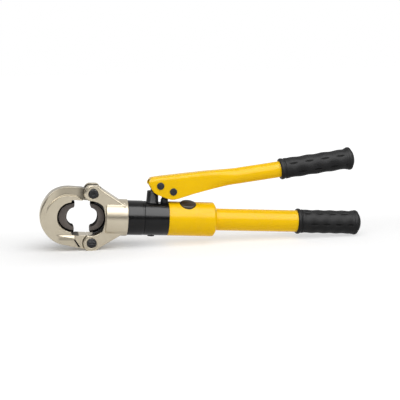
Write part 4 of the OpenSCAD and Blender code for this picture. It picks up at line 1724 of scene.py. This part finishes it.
    def build(self, bench: Bench) -> None:
        """Makes the lever, its pins and its grip.

        Args:
            bench: Paints them and sets them on their body.
        """
        piece = bench.link("lever_shell", self.shell())
        bench.soften(piece, self.edge, angle=self.edge_deg)
        bench.finish(piece, Slot.YELLOW_PAINT, Body.LEVER, ["lever_channel", "lever_tube"])
        for node in ("fulcrum_pin", "drive_pin"):
            bench.softened_node(node, Slot.BLACK_STEEL, Body.LEVER, self.pin_edge)
        turn = Matrix.Rotation(math.radians(-self.tube_rise), 4, "Y")
        place = Matrix.Translation((self.weld[0], 0.0, self.weld[1])) @ turn
        self.grip.build(bench, place @ Matrix.Translation((self.grip_at, 0.0, 0.0)))


@dataclass
class ReleaseValve:
    """The release button and its spring."""

    lean: float = 18.0
    x: float = 172.07 * MM
    low: float = 20.5 * MM
    well: float = 11.0 * MM
    travel: float = 3.0 * MM
    edge: float = 0.9 * MM
    edge_steps: int = 3
    ring: float = 4.9 * MM
    wire: float = 0.6 * MM
    turns: int = 4

    def build(self, bench: Bench) -> None:
        """Makes the button and winds its spring.

        Args:
            bench: Paints them and sets them on their bodies.
        """
        bench.softened_node("release_button", Slot.BUTTON_PLASTIC, Body.BUTTON, self.edge,
                            self.edge_steps)
        angle = math.radians(self.lean)
        axis = Vector((0.0, -math.sin(angle), math.cos(angle)))
        base = Vector((self.x, 0, 0)) + axis * self.well
        coil = Coil("release_spring", Body.FRAME, tuple(base), tuple(axis), self.ring, self.wire,
                    self.low - self.well, self.turns)
        piece = coil.build(bench)
        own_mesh(piece)


@dataclass
class Springs:
    """The springs inside the cylinder and the valves.

    Each valve's row gives its spring's axis, ring and wire in millimetres, and turns.
    """

    chamber: float = 55.97 * MM
    piston: float = 88.07 * MM
    stroke: float = 23.7 * MM
    ring: float = 16.7 * MM
    wire: float = 1.2 * MM
    turns: int = 4
    valves: tuple[tuple[str, int, float, float, int], ...] = (
        ("relief_spring", 2, 2.4, 0.45, 5), ("discharge_spring", 2, 2.1, 0.4, 5),
        ("suction_spring", 0, 2.1, 0.4, 4))

    def build(self, bench: Bench) -> None:
        """Winds the springs.

        Args:
            bench: Paints them and sets them on their bodies.
        """
        length = self.piston - self.chamber
        back = Coil("return_spring", Body.HEAD, (self.chamber, 0, 0), (1, 0, 0), self.ring,
                    self.wire, length, self.turns)
        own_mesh(back.build(bench))
        for node, axis, ring, wire, turns in self.valves:
            low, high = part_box(node)
            base = (low + high) / 2
            base[axis] = low[axis]
            way = Vector((0, 0, 0))
            way[axis] = 1
            Coil(node, Body.FRAME, tuple(base), tuple(way), ring * MM, wire * MM,
                 high[axis] - low[axis], turns).build(bench)


@dataclass
class Lamp:
    """A soft lamp or a card: its place, its width and depth, and its face's radiance."""

    name: str
    place: Triple
    size: Pair
    radiance: float

    def hang(self, aim: Triple, mirrored: bool, lights: bool) -> bpy.types.Object:
        """Hangs the lamp.

        Args:
            aim: The point that it faces.
            mirrored: Whether glossy surfaces show it.
            lights: Whether it lights matte surfaces.

        Returns:
            The new lamp.
        """
        data = bpy.data.lights.new(self.name, "AREA")
        data.shape = "RECTANGLE"
        data.size, data.size_y = self.size
        data.energy = self.radiance * math.pi * self.size[0] * self.size[1]
        piece = Bench.link(self.name, data)
        turn = (Vector(aim) - Vector(self.place)).to_track_quat("-Z", "Y").to_matrix().to_4x4()
        piece.matrix_world = Matrix.Translation(self.place) @ turn
        piece.visible_glossy = mirrored
        piece.visible_diffuse = lights
        return piece


class Sees(Enum):
    """Which pieces a card shows in: all but the listed ones, or these alone."""

    OTHERS = "EXCLUDE"
    LISTED = "INCLUDE"


@dataclass
class Studio:
    """The floor, the lights and the camera."""

    azimuth: float = 10.5
    elevation: float = 9.0
    roll: float = 3.064
    distance: float = 1.5401
    focal_px: float = 1000.0
    frame_px: float = 400.0
    sensor_mm: float = 36.0
    sight: float = 50.0
    target: Triple = (0.19205, 0.0, 0.02978)
    aim: Triple = (0.2, 0.0, 0.0)
    floor_front: Pair = (0.033, -0.0485)
    floor_back: Pair = (0.441, -0.0203)
    floor_half: float = 6.0
    floor_tints: tuple[Triple, Triple] = ((0.9, 0.9, 0.9), (0.93, 0.93, 0.93))
    floor_grain: float = 35.0
    floor_white: float = 1.12
    floor_head: Triple = (0.01, 0.0, -0.05)
    head_band: Pair = (0.03, 0.14)
    side_band: Pair = (0.06, 0.3)
    glow: float = 0.12
    glow_rise: float = 0.4
    bounce: float = 0.7
    white: tuple[float, ...] = (1.0, 1.0, 1.0, 1.0)
    fill: float = 0.26
    horizon: float = 0.05
    ceiling: float = 0.6
    ceiling_band: Pair = (0.3, 0.8)
    backdrop: float = 0.78
    backdrop_band: Pair = (-0.1, 0.5)
    boxes: tuple[Lamp, ...] = (
        Lamp("top_box", (0.2, -0.55, 0.78), (1.8, 1.15), 1.9),
        Lamp("back_box", (0.2, 0.9, 0.6), (1.4, 0.6), 0.8))
    mirror_cards: tuple[tuple[Lamp, Sees], ...] = (
        (Lamp("top_card", (0.2, -0.52, 0.738), (1.7, 1.08), 7.6), Sees.OTHERS),
        (Lamp("plated_card", (0.2, -0.515, 0.731), (1.7, 0.5), 1.8), Sees.LISTED),
        (Lamp("plated_edge", (0.2, -0.52, 0.738), (1.7, 1.25), 1.15), Sees.LISTED))

    def floor_matrix(self) -> Matrix:
        """Gives the floor's place, with its Z axis upwards and its slope along the tool.

        Returns:
            The matrix that lays a flat mesh there.
        """
        (x0, z0), (x1, z1) = self.floor_front, self.floor_back
        turn = Matrix.Rotation(-math.atan2(z1 - z0, x1 - x0), 4, "Y")
        return Matrix.Translation((x0, 0, z0)) @ turn

    def floor_finish(self) -> bpy.types.Material:
        """Makes the pale floor: matte near the tool for its shadow, and white further off.

        Returns:
            The new material.
        """
        made = bpy.data.materials.new("pale_floor")
        made.use_nodes = True
        tree = Tree(made.node_tree)
        place = tree.add("ShaderNodeTexCoord").outputs["Object"]
        aside = abs(tree.axes(place)[1])
        head = tree.value("ShaderNodeVectorMath", {"operation": "DISTANCE"},
                          {0: place, 1: self.floor_head}, "Value")
        grain = Finish.noise(tree, place, self.floor_grain)
        soft = tree.add("ShaderNodeBsdfDiffuse", {}, {
            "Color": tree.blend(grain, *self.floor_tints)})
        matte = tree.value("ShaderNodeLightPath", output="Is Diffuse Ray")
        strength = self.floor_white + matte * (self.bounce - self.floor_white)
        white = tree.add("ShaderNodeEmission", {}, {"Color": self.white, "Strength": strength})
        glow = self.glow + self.glow_rise * head.rises(self.head_band)
        share = glow + (1.0 - glow) * aside.rises(self.side_band)
        mixed = tree.add("ShaderNodeMixShader", {}, {
            0: share, 1: soft.outputs[0], 2: white.outputs[0]})
        tree.add("ShaderNodeOutputMaterial", {}, {"Surface": mixed.outputs[0]})
        return made

    def floor(self) -> None:
        """Lays the pale floor under the tool."""
        mesh = bpy.data.meshes.new("floor")
        half = self.floor_half
        mesh.from_pydata([(-half, -half, 0), (half, -half, 0), (half, half, 0), (-half, half, 0)],
                         [], [(0, 1, 2, 3)])
        mesh.transform(self.floor_matrix())
        piece = Bench.link("floor", mesh)
        piece.data.materials.append(self.floor_finish())

    def world(self) -> None:
        """Sets a white surround that lights the tool more softly than it looks."""
        world = bpy.data.worlds.new("white_room")
        bpy.context.scene.world = world
        world.use_nodes = True
        tree = Tree(world.node_tree)
        path = tree.add("ShaderNodeLightPath")
        camera, clear, mirrored = (Term(tree, path.outputs[f"Is {ray} Ray"])
                                   for ray in ("Camera", "Transmission", "Glossy"))
        _, away, lift = tree.axes(tree.add("ShaderNodeTexCoord").outputs["Generated"])
        seen = (camera + clear).above(0.5)
        high = lift.rises(self.ceiling_band)
        room = self.horizon + (1.0 - self.horizon) * self.ceiling * high
        room = room + away.rises(self.backdrop_band) * (self.backdrop - room)
        strength = self.fill + seen * (1.0 - self.fill) + mirrored * (room - self.fill)
        back = tree.add("ShaderNodeBackground", {}, {"Color": self.white, "Strength": strength})
        tree.add("ShaderNodeOutputWorld", {}, {"Surface": back.outputs[0]})

    def cards(self, plated: Sequence[bpy.types.Object]) -> None:
        """Hangs the cards that show in glossy surfaces, dimmer for the plated ones.

        Args:
            plated: The pieces with a bright metal finish.
        """
        for card, sees in self.mirror_cards:
            lamp = card.hang(self.aim, mirrored=True, lights=False)
            group = bpy.data.collections.new(card.name + "_sees")
            for piece in plated:
                group.objects.link(piece)
            for entry in group.collection_objects:
                entry.light_linking.link_state = sees.value
            lamp.light_linking.receiver_collection = group

    def camera(self) -> None:
        """Sets the camera at the photograph's view."""
        data = bpy.data.cameras.new("camera")
        data.sensor_fit = "HORIZONTAL"
        data.sensor_width = self.sensor_mm
        data.lens = self.focal_px / self.frame_px * self.sensor_mm
        data.clip_end = self.sight
        piece = Bench.link("camera", data)
        turn, lift, roll = (math.radians(a) for a in (self.azimuth, self.elevation, self.roll))
        ahead = Vector((math.sin(turn) * math.cos(lift), math.cos(turn) * math.cos(lift),
                        -math.sin(lift)))
        level = Vector((math.cos(turn), -math.sin(turn), 0.0))
        upright = level.cross(ahead)
        right = level * math.cos(roll) + upright * math.sin(roll)
        up = upright * math.cos(roll) - level * math.sin(roll)
        place = Vector(self.target) - ahead * self.distance
        rows = Matrix((right, up, -ahead)).transposed()
        piece.matrix_world = Matrix.Translation(place) @ rows.to_4x4()
        bpy.context.scene.camera = piece

    def build(self) -> None:
        """Sets up the studio, but for the cards that need the finished pieces."""
        bpy.context.scene.view_settings.view_transform = "Standard"
        self.floor()
        self.world()
        for box in self.boxes:
            box.hang(self.aim, mirrored=False, lights=True)
        self.camera()


def main() -> None:
    """Builds the tool and its studio, and reports each piece."""
    logging.basicConfig(level=logging.INFO, format="%(name)s: %(message)s")
    bench = Bench(Paintbox())
    studio = Studio()
    studio.build()
    for part in (Head(), Pump(), Handle(), Lever(), ReleaseValve(), Springs()):
        part.build(bench)
    studio.cards(bench.pieces[Slot.NICKEL])
    bench.dress_nodes()


if __name__ == "__main__":
    main()
